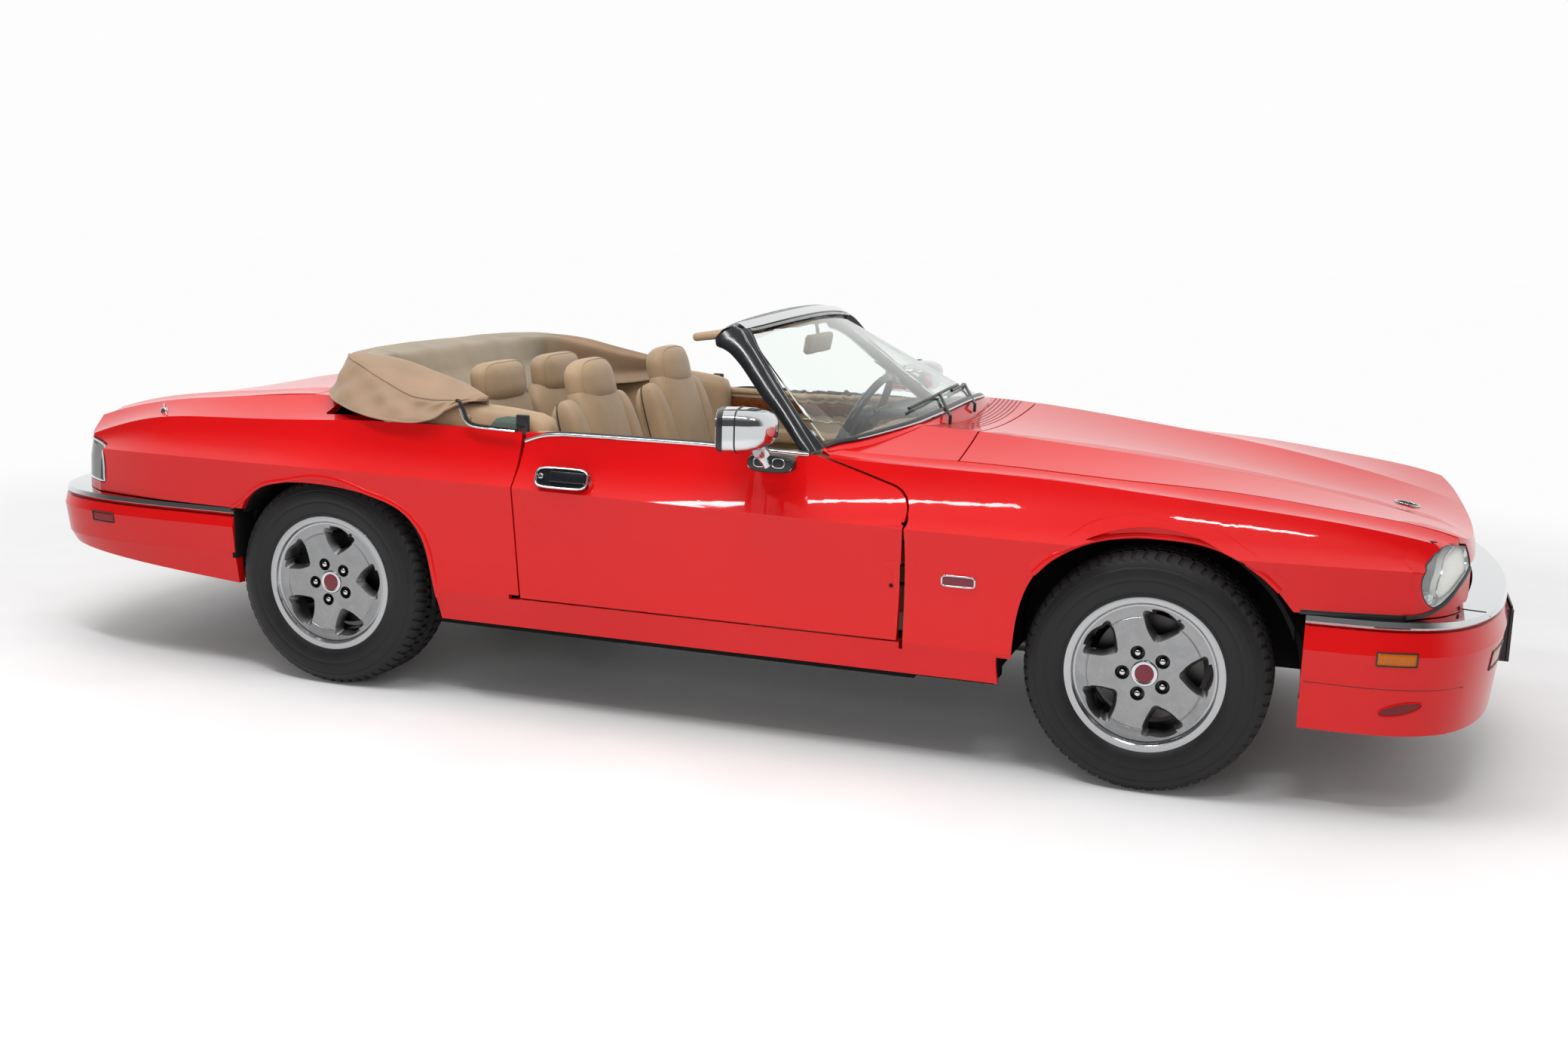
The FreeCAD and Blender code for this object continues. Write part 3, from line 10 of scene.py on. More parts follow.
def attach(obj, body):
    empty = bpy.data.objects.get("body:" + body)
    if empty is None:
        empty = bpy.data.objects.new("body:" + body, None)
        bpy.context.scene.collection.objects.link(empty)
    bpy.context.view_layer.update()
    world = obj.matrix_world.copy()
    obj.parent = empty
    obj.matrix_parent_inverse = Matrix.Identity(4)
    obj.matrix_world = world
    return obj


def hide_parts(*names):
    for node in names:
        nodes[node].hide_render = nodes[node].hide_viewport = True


# A two-door convertible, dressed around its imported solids. Lengths are in metres.
# +X is forward, +Y is the car's left, and the ground is at Z = 0.
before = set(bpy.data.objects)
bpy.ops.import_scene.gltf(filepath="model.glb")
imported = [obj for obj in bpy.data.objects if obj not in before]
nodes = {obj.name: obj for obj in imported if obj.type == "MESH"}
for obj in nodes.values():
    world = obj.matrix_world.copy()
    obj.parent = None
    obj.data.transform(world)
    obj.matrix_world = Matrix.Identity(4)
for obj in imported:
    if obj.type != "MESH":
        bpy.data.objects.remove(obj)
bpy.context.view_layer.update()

MM = 0.001
RIGHT, LEFT = -1, 1
SIDES = (("right", RIGHT), ("left", LEFT))
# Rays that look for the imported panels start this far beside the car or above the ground.
BESIDE, ABOVE = 1.1, 1.2


# Shader helpers.
def material(name):
    made = bpy.data.materials.new(name)
    made.use_nodes = True
    tree = made.node_tree
    return made, tree, tree.nodes["Principled BSDF"]


def node(tree, kind, **settings):
    made = tree.nodes.new("ShaderNode" + kind)
    for key, value in settings.items():
        if key in made.inputs:
            made.inputs[key].default_value = value
        else:
            setattr(made, key, value)
    return made


def link(tree, start, output, end, target):
    tree.links.new(start.outputs[output], end.inputs[target])


def noise_of(tree, scale, detail=3.0, rough=0.5):
    noise = node(tree, "TexNoise", Scale=scale, Detail=detail, Roughness=rough)
    link(tree, node(tree, "TexCoord"), "Object", noise, "Vector")
    return noise


def cells_of(tree, scale):
    cells = node(tree, "TexVoronoi", Scale=scale)
    link(tree, node(tree, "TexCoord"), "Object", cells, "Vector")
    return cells


def ramp(tree, source, output, stops):
    made = node(tree, "ValToRGB")
    band = made.color_ramp
    while len(band.elements) < len(stops):
        band.elements.new(0.5)
    for element, (place, colour) in zip(band.elements, stops):
        element.position = place
        element.color = (*colour, 1.0)
    link(tree, source, output, made, "Fac")
    return made


def grey(value):
    return (value, value, value)


def bump(tree, shader, source, output, strength, distance, target="Normal"):
    made = node(tree, "Bump", Strength=strength, Distance=distance)
    link(tree, source, output, made, "Height")
    link(tree, made, "Normal", shader, target)
    return made


def tinted(tree, shader, source, dark, light, start=0.3, end=0.7):
    """Lets a texture carry the base colour from a darker to a lighter one."""
    tone = ramp(tree, source, "Fac", [(start, dark), (end, light)])
    link(tree, tone, "Color", shader, "Base Color")


def roughened(tree, shader, source, low, high, start=0.3, end=0.7):
    rough = ramp(tree, source, "Fac", [(start, grey(low)), (end, grey(high))])
    link(tree, rough, "Color", shader, "Roughness")


def shaded(colour, part):
    return tuple(c * part for c in colour)


# Finishes. A fine grain is 0.6 mm deep and a broad crease 4 mm.
FINE, BROAD = 0.0006, 0.004


def paint(name="body_red", base=(0.60, 0.004, 0.005), dark=(0.53, 0.0035, 0.0045)):
    made, tree, shader = material(name)
    tinted(tree, shader, noise_of(tree, 1.3, 2.0), dark, base)
    shader.inputs["Roughness"].default_value = 0.34
    shader.inputs["Specular IOR Level"].default_value = 0.05
    shader.inputs["Coat Weight"].default_value = 0.62
    shader.inputs["Coat Roughness"].default_value = 0.035
    peel = noise_of(tree, 230.0, 1.0)
    bump(tree, shader, peel, "Fac", 0.035, FINE, "Coat Normal")
    return made


def metal(name, colour, roughness, scale=60.0, strength=0.02, spread=0.06):
    made, tree, shader = material(name)
    shader.inputs["Metallic"].default_value = 1.0
    shader.inputs["Base Color"].default_value = (*colour, 1.0)
    grain = noise_of(tree, scale, 4.0, 0.6)
    roughened(tree, shader, grain, max(roughness - spread, 0.01), roughness + spread)
    bump(tree, shader, grain, "Fac", strength, 0.001)
    return made


def plain(
    name, colour, roughness, scale=40.0, spread=0.08, strength=0.15, distance=FINE, tone=0.82,
    specular=0.5,
):
    made, tree, shader = material(name)
    grain = noise_of(tree, scale, 5.0, 0.6)
    tinted(tree, shader, grain, shaded(colour, tone), colour, 0.32, 0.68)
    roughened(tree, shader, grain, roughness - spread, roughness + spread)
    shader.inputs["Specular IOR Level"].default_value = specular
    bump(tree, shader, grain, "Fac", strength, distance)
    return made


def leather(name, colour, roughness=0.48, crease=0.5):
    made, tree, shader = material(name)
    cells = cells_of(tree, 420.0)
    wave = noise_of(tree, 9.0, 4.0, 0.6)
    tinted(tree, shader, wave, shaded(colour, 0.80), colour, 0.3, 0.72)
    roughened(tree, shader, wave, roughness - 0.06, roughness + 0.08)
    fine = bump(tree, shader, cells, "Distance", 0.22, FINE)
    bump(tree, fine, wave, "Fac", crease, BROAD)
    shader.inputs["Sheen Weight"].default_value = 0.12
    shader.inputs["Specular IOR Level"].default_value = 0.42
    return made


def cloth(name, colour, scale=900.0):
    made, tree, shader = material(name)
    weave = cells_of(tree, scale)
    cloud = noise_of(tree, 6.0, 4.0, 0.6)
    tinted(tree, shader, cloud, shaded(colour, 0.80), colour)
    shader.inputs["Roughness"].default_value = 0.78
    shader.inputs["Sheen Weight"].default_value = 0.35
    shader.inputs["Sheen Roughness"].default_value = 0.5
    fine = bump(tree, shader, weave, "Distance", 0.35, FINE)
    bump(tree, fine, cloud, "Fac", 0.5, BROAD)
    return made


def glass(name, colour):
    made, tree, shader = material(name)
    shader.inputs["Base Color"].default_value = (*colour, 1.0)
    shader.inputs["Transmission Weight"].default_value = 1.0
    shader.inputs["IOR"].default_value = 1.45
    roughened(tree, shader, noise_of(tree, 14.0, 5.0, 0.6), 0.0, 0.03, 0.35, 0.75)
    return made


def film(name, colour, alpha):
    """A thin clear cover that lets the light through to what is behind it."""
    made, tree, shader = material(name)
    shader.inputs["Base Color"].default_value = (*colour, 1.0)
    shader.inputs["Alpha"].default_value = alpha
    shader.inputs["Specular IOR Level"].default_value = 0.9
    roughened(tree, shader, noise_of(tree, 14.0, 5.0, 0.6), 0.02, 0.06, 0.35, 0.75)
    return made


RED = paint()
CHROME = metal("chrome", (0.62, 0.635, 0.645), 0.06, spread=0.03)
POLISHED = metal("polished_alloy", (0.43, 0.44, 0.45), 0.14, 90.0)
BRUSHED = metal("brushed_alloy", (0.31, 0.315, 0.32), 0.26, 26.0, 0.10, spread=0.10)
WHEEL_DARK = metal("wheel_window_wall", (0.22, 0.22, 0.22), 0.45, 60.0, 0.05)
STEEL = metal("dark_steel", (0.16, 0.155, 0.15), 0.5, 30.0, 0.1)
EXHAUST = metal("exhaust_metal", (0.20, 0.19, 0.18), 0.42, 30.0, 0.1)
RUBBER = plain("tyre_side", (0.013, 0.013, 0.0135), 0.44, 24.0, 0.06, 0.10, specular=0.28)
TREAD = plain("tyre_tread", (0.020, 0.019, 0.019), 0.66, 60.0, 0.1, 0.4, specular=0.25)
BLACK = plain("black_trim", (0.013, 0.013, 0.014), 0.34, 70.0, 0.08, 0.12)
GLOSS_BLACK = plain("black_gloss", (0.010, 0.011, 0.013), 0.16, 30.0, 0.05, 0.04)
# Dark finish under the car, also painted as shade on the cabin floor's edges at the door gaps.
UNDER_AND_GAP_SHADE = plain("underbody", (0.007, 0.007, 0.007), 0.8, 30.0, 0.1, 0.4, specular=0.15)
TAN = leather("seat_leather", (0.39, 0.265, 0.155))
TAN_LIGHT = leather("cover_leather", (0.33, 0.215, 0.132), 0.56, 0.3)
TAN_CLOTH = cloth("hood_cloth", (0.29, 0.225, 0.14))
CARPET = cloth("carpet", (0.27, 0.185, 0.115), 500.0)
PIPING = plain("dark_piping", (0.035, 0.022, 0.016), 0.5)
SCREEN = glass("screen_glass", (0.93, 0.98, 0.95))
LENS_AMBER = plain("amber_lens", (0.50, 0.125, 0.006), 0.16, 120.0, 0.05, 0.4, specular=0.3)
LENS_RED = plain("red_lens", (0.22, 0.004, 0.008), 0.14, 120.0, 0.05, 0.4, specular=0.3)
LENS_DARK = plain("smoked_lens", (0.020, 0.020, 0.022), 0.10, 120.0, 0.04, 0.2)
# The fluted lens is clear glass; its pale colour is painted light that stands in for the bright bowl seen
# through it.
LENS_PAINTED_BRIGHT = plain("fluted_lens_painted_light", (0.80, 0.80, 0.74), 0.20, 90.0, 0.08, 0.6, 0.002, 0.93)
CLEAR = film("lamp_cover_glass", (0.9, 0.93, 0.92), 0.14)
SMOKED = plain("quarter_glass_green", (0.10, 0.15, 0.125), 0.08, 30.0, 0.03, 0.03)
BAND = metal("header_bright", (0.70, 0.72, 0.71), 0.16, spread=0.04)
# A darker copy of the body red: painted shade inside slots, openings and seams.
SLOT_SHADE = plain("slot_painted_shade", (0.16, 0.004, 0.005), 0.6)
WALNUT = plain("walnut", (0.17, 0.045, 0.012), 0.16, 60.0, 0.04, 0.04, 0.0004, 0.45)
ENAMEL = plain("cap_enamel", (0.16, 0.008, 0.022), 0.22, 160.0, 0.06, 0.3)


def wear(names, *finishes):
    """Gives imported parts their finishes."""
    for name in names.split():
        mesh = nodes[name].data
        mesh.materials.clear()
        for finish in finishes:
            mesh.materials.append(finish)


wear("front_wings bonnet boot_lid rear_quarters sills door_right door_left cowl_panel rear_deck", RED)
wear("front_bumper rear_bumper", RED, BLACK)
# The panel behind the front plate is black.
for polygon in nodes["front_bumper"].data.polygons:
    x, y, z = polygon.center
    if x > 2.405 and abs(y) < 0.172 and 0.31 < z < 0.50:
        polygon.material_index = 1
wear("bumper_blades", CHROME)
wear("door_mirror_right door_mirror_left", CHROME)
wear("front_lamps", CHROME)
wear("rear_lamps", LENS_DARK)
wear("grille windscreen_frame wipers", BLACK)
wear("windscreen_glass", SCREEN)
wear("windscreen_fittings front_seats rear_seats", TAN)
wear("hood_cover", TAN_LIGHT)
wear("dashboard console door_card_right door_card_left", TAN)
wear("steering_wheel", GLOSS_BLACK)
wear("front_structure boot_tub engine", UNDER_AND_GAP_SHADE)
wear("cabin_floor", CARPET, UNDER_AND_GAP_SHADE)
# The floor's underside and the front of its bulkhead have no carpet and are dark. Its edges at the door
# gaps have no carpet either; their dark colour is painted shade in the gaps.
for polygon in nodes["cabin_floor"].data.polygons:
    x, y, z = polygon.center
    if abs(y) > 0.70 or z < 0.25 or (x > 1.0 and polygon.normal.x > 0.2):
        polygon.material_index = 1
wear("exhaust", EXHAUST)
wear("suspension knuckle_right knuckle_left", STEEL)


# Mesh helpers.
def added(name, data):
    made = bpy.data.objects.new(name, data)
    bpy.context.scene.collection.objects.link(made)
    return made


def mesh_of(name, verts, faces, *finishes):
    mesh = bpy.data.meshes.new(name)
    mesh.from_pydata([tuple(v) for v in verts], [], faces)
    for finish in finishes:
        mesh.materials.append(finish)
    return mesh


def piece(name, verts, faces, finish, body="root"):
    mesh = mesh_of(name, verts, faces)
    mesh.validate()
    mesh.update()
    return dressed(added(name, mesh), finish, body)


def dressed(made, finish, body="root"):
    """Gives a piece its finish and its body."""
    finishes = finish if isinstance(finish, list) else [finish]
    for one in finishes:
        made.data.materials.append(one)
    for polygon in made.data.polygons:
        polygon.use_smooth = True
    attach(made, body)
    return made


def modifier(made, kind, **settings):
    change = made.modifiers.new(kind.lower(), kind)
    for key, value in settings.items():
        setattr(change, key, value)
    return change


def baked(made):
    """Applies a piece's modifiers."""
    graph = bpy.context.evaluated_depsgraph_get()
    mesh = bpy.data.meshes.new_from_object(made.evaluated_get(graph))
    made.modifiers.clear()
    made.data = mesh
    return made


def thickened(made, thickness, offset=-1.0):
    modifier(made, "SOLIDIFY", thickness=thickness, offset=offset)
    return baked(made)


def outward_faces(mesh):
    grid = bmesh.new()
    grid.from_mesh(mesh)
    bmesh.ops.recalc_face_normals(grid, faces=grid.faces)
    grid.to_mesh(mesh)
    grid.free()


def outward(made):
    outward_faces(made.data)
    return made


def sharpen(mesh, degrees):
    """Smooth faces, with sharp edges where the surface turns by more than an angle."""
    grid = bmesh.new()
    grid.from_mesh(mesh)
    limit = math.radians(degrees)
    for edge in grid.edges:
        faces = edge.link_faces
        edge.smooth = len(faces) == 2 and faces[0].normal.angle(faces[1].normal, 0.0) < limit
    for face in grid.faces:
        face.smooth = True
    grid.to_mesh(mesh)
    grid.free()


def sharp_by_angle(made, degrees):
    sharpen(made.data, degrees)
    return made


def turns(count):
    return [2 * math.pi * k / count for k in range(count)]


def quads(rows, count, ring=True, joined_ends=False):
    """Faces between rows of points. A ring closes each row, and joined ends close the rows."""
    faces = []
    for a in range(rows if joined_ends else rows - 1):
        b = (a + 1) % rows
        for i in range(count if ring else count - 1):
            j = (i + 1) % count
            faces.append((a * count + i, a * count + j, b * count + j, b * count + i))
    return faces


def lathe(profile, segments, closed=False):
    """Turns (radius, along) pairs round the Y axis."""
    verts = []
    for angle in turns(segments):
        for radius, along in profile:
            verts.append((radius * math.sin(angle), along, radius * math.cos(angle)))
    return verts, quads(segments, len(profile), closed, True)


# Wheels: built round the origin with the outer side towards +Y, then placed.
TYRE_R = 0.338
WHEELS = {
    "front_right": (1.4585, -0.7445),
    "front_left": (1.4585, 0.7445),
    "rear_right": (-1.1325, -0.752),
    "rear_left": (-1.1325, 0.752),
}
# Tread blocks round a tyre, the radius of the circle of nuts, and the angle of the first nut.
PITCHES = 64
NUT_CIRCLE = 0.0603
FIRST_NUT = math.pi / 5

# A tread point is plain, cut by the grooves of the shoulder, or cut by those between the blocks.
# A groove has its floor at a radius, or takes a depth off the shoulder.
PLAIN, SHOULDER, BLOCK = 0, 1, 2
GROOVE_FLOOR, SHOULDER_CUT = 0.3300, 0.0055


def tyre_mesh():
    """A tyre as (radius, along) pairs, with its tread moved along each pitch."""
    side = [
        (0.2036, 0.0870), (0.2130, 0.0935), (0.2200, 0.1005), (0.2235, 0.1030), (0.2260, 0.1046),
        (0.2275, 0.1040), (0.2290, 0.1054), (0.2420, 0.1098), (0.2560, 0.1118), (0.2640, 0.1123),
        (0.2655, 0.1116), (0.2670, 0.1124), (0.2800, 0.1117), (0.2920, 0.1095), (0.2985, 0.1078),
        (0.3000, 0.1064), (0.3015, 0.1068), (0.3100, 0.1030), (0.3170, 0.0990),
    ]
    ribs = [
        (0.3230, 0.0945, SHOULDER), (0.3285, 0.0885, SHOULDER), (0.3330, 0.0810, SHOULDER),
        (0.3362, 0.0715, SHOULDER), (0.3368, 0.0555, SHOULDER), (0.3290, 0.0545, PLAIN),
        (0.3290, 0.0485, PLAIN), (0.3374, 0.0475, BLOCK), (0.3378, 0.0320, BLOCK),
        (0.3378, 0.0215, BLOCK), (0.3295, 0.0205, PLAIN), (0.3295, 0.0135, PLAIN),
        (0.3380, 0.0125, PLAIN), (0.3380, 0.0, PLAIN),
    ]
    profile = [(r, y, PLAIN) for r, y in side] + ribs
    profile += [(r, -y, kind) for r, y, kind in reversed(profile[:-1])]
    # Where the block ends, the groove begins and the groove ends, in parts of a pitch.
    marks = [0.0, 0.62, 0.70, 0.92]
    verts = []
    for k in range(PITCHES):
        for step, mark in enumerate(marks):
            for r, y, kind in profile:
                shift = 0.0
                if kind != PLAIN:
                    shift = 0.5 * abs(y) / 0.09
                if kind == BLOCK:
                    shift += 0.45
                angle = 2 * math.pi * (k + mark + shift * 0.9) / PITCHES
                radius = r
                if kind != PLAIN and step in (2, 3):
                    radius = min(r, GROOVE_FLOOR) if kind == BLOCK else r - SHOULDER_CUT
                verts.append((radius * math.sin(angle), y, radius * math.cos(angle)))
    count = len(profile)
    return verts, quads(PITCHES * len(marks), count, False, True), count


def window_outline(shrink):
    """A rounded triangle between two spokes, pointing at the hub."""
    outer, inner, half = 0.186 - shrink, 0.086 + shrink * 1.5, math.radians(23.0) - shrink / 0.17
    corners = [
        (outer * math.sin(-half), outer * math.cos(half)),
        (outer * math.sin(half), outer * math.cos(half)),
        (0.0, inner - 0.006),
    ]
    radii = [0.022 - shrink * 0.4, 0.022 - shrink * 0.4, 0.026 - shrink * 0.4]
    bulges = [0.0135, 0.003, 0.003]
    loop = []
    for index in range(3):
        before, here, after = (Vector(corners[(index + s) % 3]) for s in (-1, 0, 1))
        into, out = (here - before).normalized(), (after - here).normalized()
        turn = into.angle(out)
        reach = radii[index] * math.tan(turn / 2) * 0.8
        start, end = here - into * reach, here + out * reach
        for step in range(9):
            t = step / 8
            loop.append((1 - t) ** 2 * start + 2 * t * (1 - t) * here + t * t * end)
        finish = after - out * (radii[(index + 1) % 3] * 0.9)
        for step in range(1, 6):
            t = step / 6
            point = end.lerp(finish, t)
            normal = Vector((-out.y, out.x))
            loop.append(point + normal * bulges[index] * 4 * t * (1 - t))
    return loop


def prism(name, loops, levels, turn, finish):
    """A closed cutter through outlines at several depths along Y, turned round the Y axis."""
    verts = []
    for loop, level in zip(loops, levels):
        for x, z in loop:
            c, s = math.cos(turn), math.sin(turn)
            verts.append((x * c + z * s, level, -x * s + z * c))
    count = len(loops[0])
    faces = [tuple(range(count)), tuple(reversed(range(count * (len(loops) - 1), count * len(loops))))]
    for level in range(len(loops) - 1):
        for i in range(count):
            j = (i + 1) % count
            a, b = level * count, (level + 1) * count
            faces.append((a + i, b + i, b + j, a + j))
    return outward(added(name, mesh_of(name, verts, faces, finish)))


def circle_loop(x, z, radius):
    return [(x + radius * math.sin(angle), z + radius * math.cos(angle)) for angle in turns(28)]


def nut_place(angle):
    """The middle of a nut, across and up from the wheel's axis."""
    return NUT_CIRCLE * math.sin(angle), NUT_CIRCLE * math.cos(angle)


# The rim's outer face lies outside FACE_Y, and its polished lip outside LIP_R.
FACE_Y, LIP_R = 0.080, 0.1895


def rim_mesh():
    """A turned rim with five windows and five nut pockets cut out of it."""
    profile = [
        (0.0365, 0.050), (0.0365, 0.0835), (0.0375, 0.0845), (0.070, 0.0845), (0.110, 0.0850),
        (0.1570, 0.0858), (0.1585, 0.0846), (0.1600, 0.0846), (0.1612, 0.0858), (0.1760, 0.0878),
        (0.1895, 0.0892), (0.1925, 0.0897), (0.1945, 0.0905), (0.1958, 0.0925), (0.1990, 0.0990),
        (0.2010, 0.1006), (0.2050, 0.1012), (0.2150, 0.1012), (0.2185, 0.1006), (0.2202, 0.0990),
        (0.2204, 0.0972), (0.2190, 0.0955), (0.2100, 0.0920), (0.2030, 0.0885), (0.2030, 0.0450),
        (0.1775, 0.0200), (0.1775, -0.0300), (0.2030, -0.0500), (0.2030, -0.0890), (0.2185, -0.0960),
        (0.2204, -0.1000), (0.2150, -0.1010), (0.1970, -0.0950), (0.1960, -0.0600), (0.1700, -0.0350),
        (0.1695, 0.0200), (0.1850, 0.0420), (0.1880, 0.0560), (0.1600, 0.0560), (0.0800, 0.0500),
    ]
    verts, faces = lathe(profile, 160, closed=True)
    mesh = mesh_of("rim", verts, faces, BRUSHED, POLISHED, WHEEL_DARK)
    outward_faces(mesh)
    for polygon in mesh.polygons:
        if polygon.center.y < FACE_Y:
            polygon.material_index = 2
        elif math.hypot(polygon.center.x, polygon.center.z) > LIP_R:
            polygon.material_index = 1
    made = added("rim_blank", mesh)
    cutters = []
    outlines = [window_outline(s) for s in (-0.0035, 0.0, 0.0035, 0.0150, 0.0155)]
    for turn in turns(5):
        levels = (0.0975, 0.0868, 0.0835, 0.0600, -0.02)
        cutters.append(prism("window_cut", outlines, levels, turn, WHEEL_DARK))
        x, z = nut_place(FIRST_NUT + turn)
        rings = [circle_loop(x, z, r) for r in (0.0212, 0.0190, 0.0180)]
        cutters.append(prism("lug_cut", rings, (0.0865, 0.0828, 0.0645), 0.0, BLACK))
    for cutter in cutters:
        cut = modifier(made, "BOOLEAN", operation="DIFFERENCE", solver="EXACT", object=cutter)
        cut.material_mode = "TRANSFER"
    baked(made)
    for cutter in cutters:
        bpy.data.objects.remove(cutter)
    sharp_by_angle(made, 24.0)
    mesh = made.data
    bpy.data.objects.remove(made)
    return mesh


def joined(parts):
    """One mesh out of (verts, faces, material index) parts."""
    verts, faces, indices = [], [], []
    for part_verts, part_faces, index in parts:
        base = len(verts)
        verts.extend(part_verts)
        faces.extend(tuple(base + i for i in face) for face in part_faces)
        indices.extend([index] * len(part_faces))
    return verts, faces, indices


def lug_nut(angle):
    """A domed hexagonal nut in its pocket."""
    rings = [
        (0.0102, 0.066), (0.0104, 0.0800), (0.0088, 0.0832), (0.0086, 0.0850), (0.0066, 0.0872),
        (0.0030, 0.0884),
    ]
    x, z = nut_place(angle)
    sides = 24
    verts = []
    for index, (radius, along) in enumerate(rings):
        for turn in turns(sides):
            wide = radius
            if index < 2:
                wide = radius * (1.0 + 0.09 * math.cos(6 * turn))
            verts.append((x + wide * math.sin(turn), along, z + wide * math.cos(turn)))
    verts.append((x, 0.0886, z))
    last = (len(rings) - 1) * sides
    crown = [(last + k, last + (k + 1) % sides, len(verts) - 1) for k in range(sides)]
    return verts, quads(len(rings), sides) + crown


# Where the valve stem stands on the rim.
VALVE_R, VALVE_TURN = 0.176, math.radians(-13.0)


def hub_mesh():
    """The centre cap, its shield, the brake disc with its bell, five nuts and the valve stem."""
    cap = [
        (0.0363, 0.070), (0.0363, 0.0852), (0.0350, 0.0876), (0.0315, 0.0886), (0.0290, 0.0878),
        (0.0262, 0.0874),
    ]
    shield = [(0.0262, 0.0874), (0.0255, 0.0866), (0.0180, 0.0872), (0.0090, 0.0877), (0.0, 0.0878)]
    disc = [
        (0.040, -0.001), (0.150, -0.001), (0.150, -0.009), (0.146, -0.010), (0.146, -0.014),
        (0.150, -0.015), (0.150, -0.023), (0.040, -0.023),
    ]
    bell = [(0.148, 0.0), (0.080, 0.001), (0.076, 0.030), (0.060, 0.0335), (0.036, 0.034), (0.034, 0.060)]
    parts = []
    for profile, index in ((cap, 0), (shield, 1), (disc, 2), (bell, 2)):
        parts.append((*lathe(profile, 56), index))
    for turn in turns(5):
        parts.append((*lug_nut(FIRST_NUT + turn), 0))
    stem = [
        (0.0036, 0.070), (0.0036, 0.0850), (0.0046, 0.0853), (0.0046, 0.0925), (0.0038, 0.0935),
        (0.0, 0.0937),
    ]
    verts, faces = lathe(stem, 12)
    aside, up = VALVE_R * math.sin(VALVE_TURN), VALVE_R * math.cos(VALVE_TURN)
    verts = [(x + aside, y, z + up) for x, y, z in verts]
    parts.append((verts, faces, 3))
    verts, faces, indices = joined(parts)
    mesh = mesh_of("hub", verts, faces, CHROME, ENAMEL, STEEL, BLACK)
    for polygon, index in zip(mesh.polygons, indices):
        polygon.material_index = index
    sharpen(mesh, 40.0)
    return mesh


# The tread has its own finish, from this many faces in from each bead.
TREAD_START = 18

tyre_verts, tyre_faces, tyre_count = tyre_mesh()
tyre_data = mesh_of("tyre", tyre_verts, tyre_faces, RUBBER, TREAD)
for index, polygon in enumerate(tyre_data.polygons):
    lane = index % (tyre_count - 1)
    if TREAD_START <= lane <= tyre_count - 2 - TREAD_START:
        polygon.material_index = 1
sharpen(tyre_data, 38.0)
rim_data = rim_mesh()
hub_data = hub_mesh()

# How far each wheel is turned where the car stands, in degrees.
WHEEL_TURN = {"front_right": 15.0, "front_left": 15.0, "rear_right": 12.0, "rear_left": 40.0}
for corner, (x, y) in WHEELS.items():
    roll = math.radians(WHEEL_TURN[corner])
    place = Matrix.Translation((x, y, TYRE_R))
    if y < 0:
        place = place @ Matrix.Rotation(math.pi, 4, "Z") @ Matrix.Rotation(-roll, 4, "Y")
    else:
        place = place @ Matrix.Rotation(roll, 4, "Y")
    for name, data, slot in (
        ("tyre_tread_", tyre_data, "tyre_rubber"),
        ("rim_face_", rim_data, "wheel_alloy"),
        ("hub_parts_", hub_data, "wheel_alloy"),
    ):
        made = added(name + corner, data)
        made.matrix_world = place
        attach(made, "wheel_" + corner)
        if data is tyre_data:
            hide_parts("tyre_" + corner)
        if data is rim_data:
            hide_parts("rim_" + corner)


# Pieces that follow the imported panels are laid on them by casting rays.
bpy.context.view_layer.update()


def tree_of(names):
    """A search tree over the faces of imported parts."""
    verts, faces = [], []
    for name in names.split():
        base = len(verts)
        verts.extend(nodes[name].matrix_world @ v.co for v in nodes[name].data.vertices)
        faces.extend([base + i for i in p.vertices] for p in nodes[name].data.polygons)
    return BVHTree.FromPolygons(verts, faces)


def cast(tree, origin, direction, reach=2.0):
    """The place and the normal where a ray first meets a tree, or None twice."""
    return tree.ray_cast(Vector(origin), Vector(direction).normalized(), reach)[:2]


def from_side(tree, side, x, z, reach=0.6, start=BESIDE):
    """Where a level ray from beside the car meets a tree."""
    return cast(tree, (x, side * start, z), (0, -side, 0), reach)[0]


def from_above(tree, x, y, z=ABOVE, reach=0.6):
    """Where a falling ray meets a tree."""
    return cast(tree, (x, y, z), (0, 0, -1), reach)[0]


def mm(*points):
    """Points given in millimetres."""
    return [Vector(point) * MM for point in points]


def mirrored(points, side, steps):
    """A smooth path through points on the right side, in millimetres, taken to either side."""
    return spline(flipped(mm(*points), side), steps)


def flipped(points, side):
    """The right side's points as they are, the left side's mirrored."""
    return [Vector((p[0], p[1] * -side, p[2])) for p in points]


def spline(points, steps):
    """A smooth path through points, with a number of steps between each two."""
    points = [Vector(p) for p in points]
    last = len(points) - 1
    path = []
    for i in range(last):
        before, start = points[max(i - 1, 0)], points[i]
        end, after = points[i + 1], points[min(i + 2, last)]
        for k in range(steps):
            t = k / steps
            path.append(
                0.5
                * (
                    2 * start
                    + (end - before) * t
                    + (2 * before - 5 * start + 4 * end - after) * t * t
                    + (3 * start - before - 3 * end + after) * t ** 3
                )
            )
    path.append(points[-1])
    return path


def whole(row, steps):
    """A smooth path through the right half of a row and its mirror image, given in millimetres."""
    return spline(mm(*row, *((x, -y, z) for x, y, z in reversed(row[:-1]))), steps)


def evened(path, passes=6):
    """Takes the small steps out of a path and keeps its ends."""
    for _ in range(passes):
        inner = [(a + b * 2 + c) / 4 for a, b, c in zip(path, path[1:], path[2:])]
        path = [path[0], *inner, path[-1]]
    return path


def found_at(places):
    """The rays that met something."""
    return [place for place in places if place is not None]


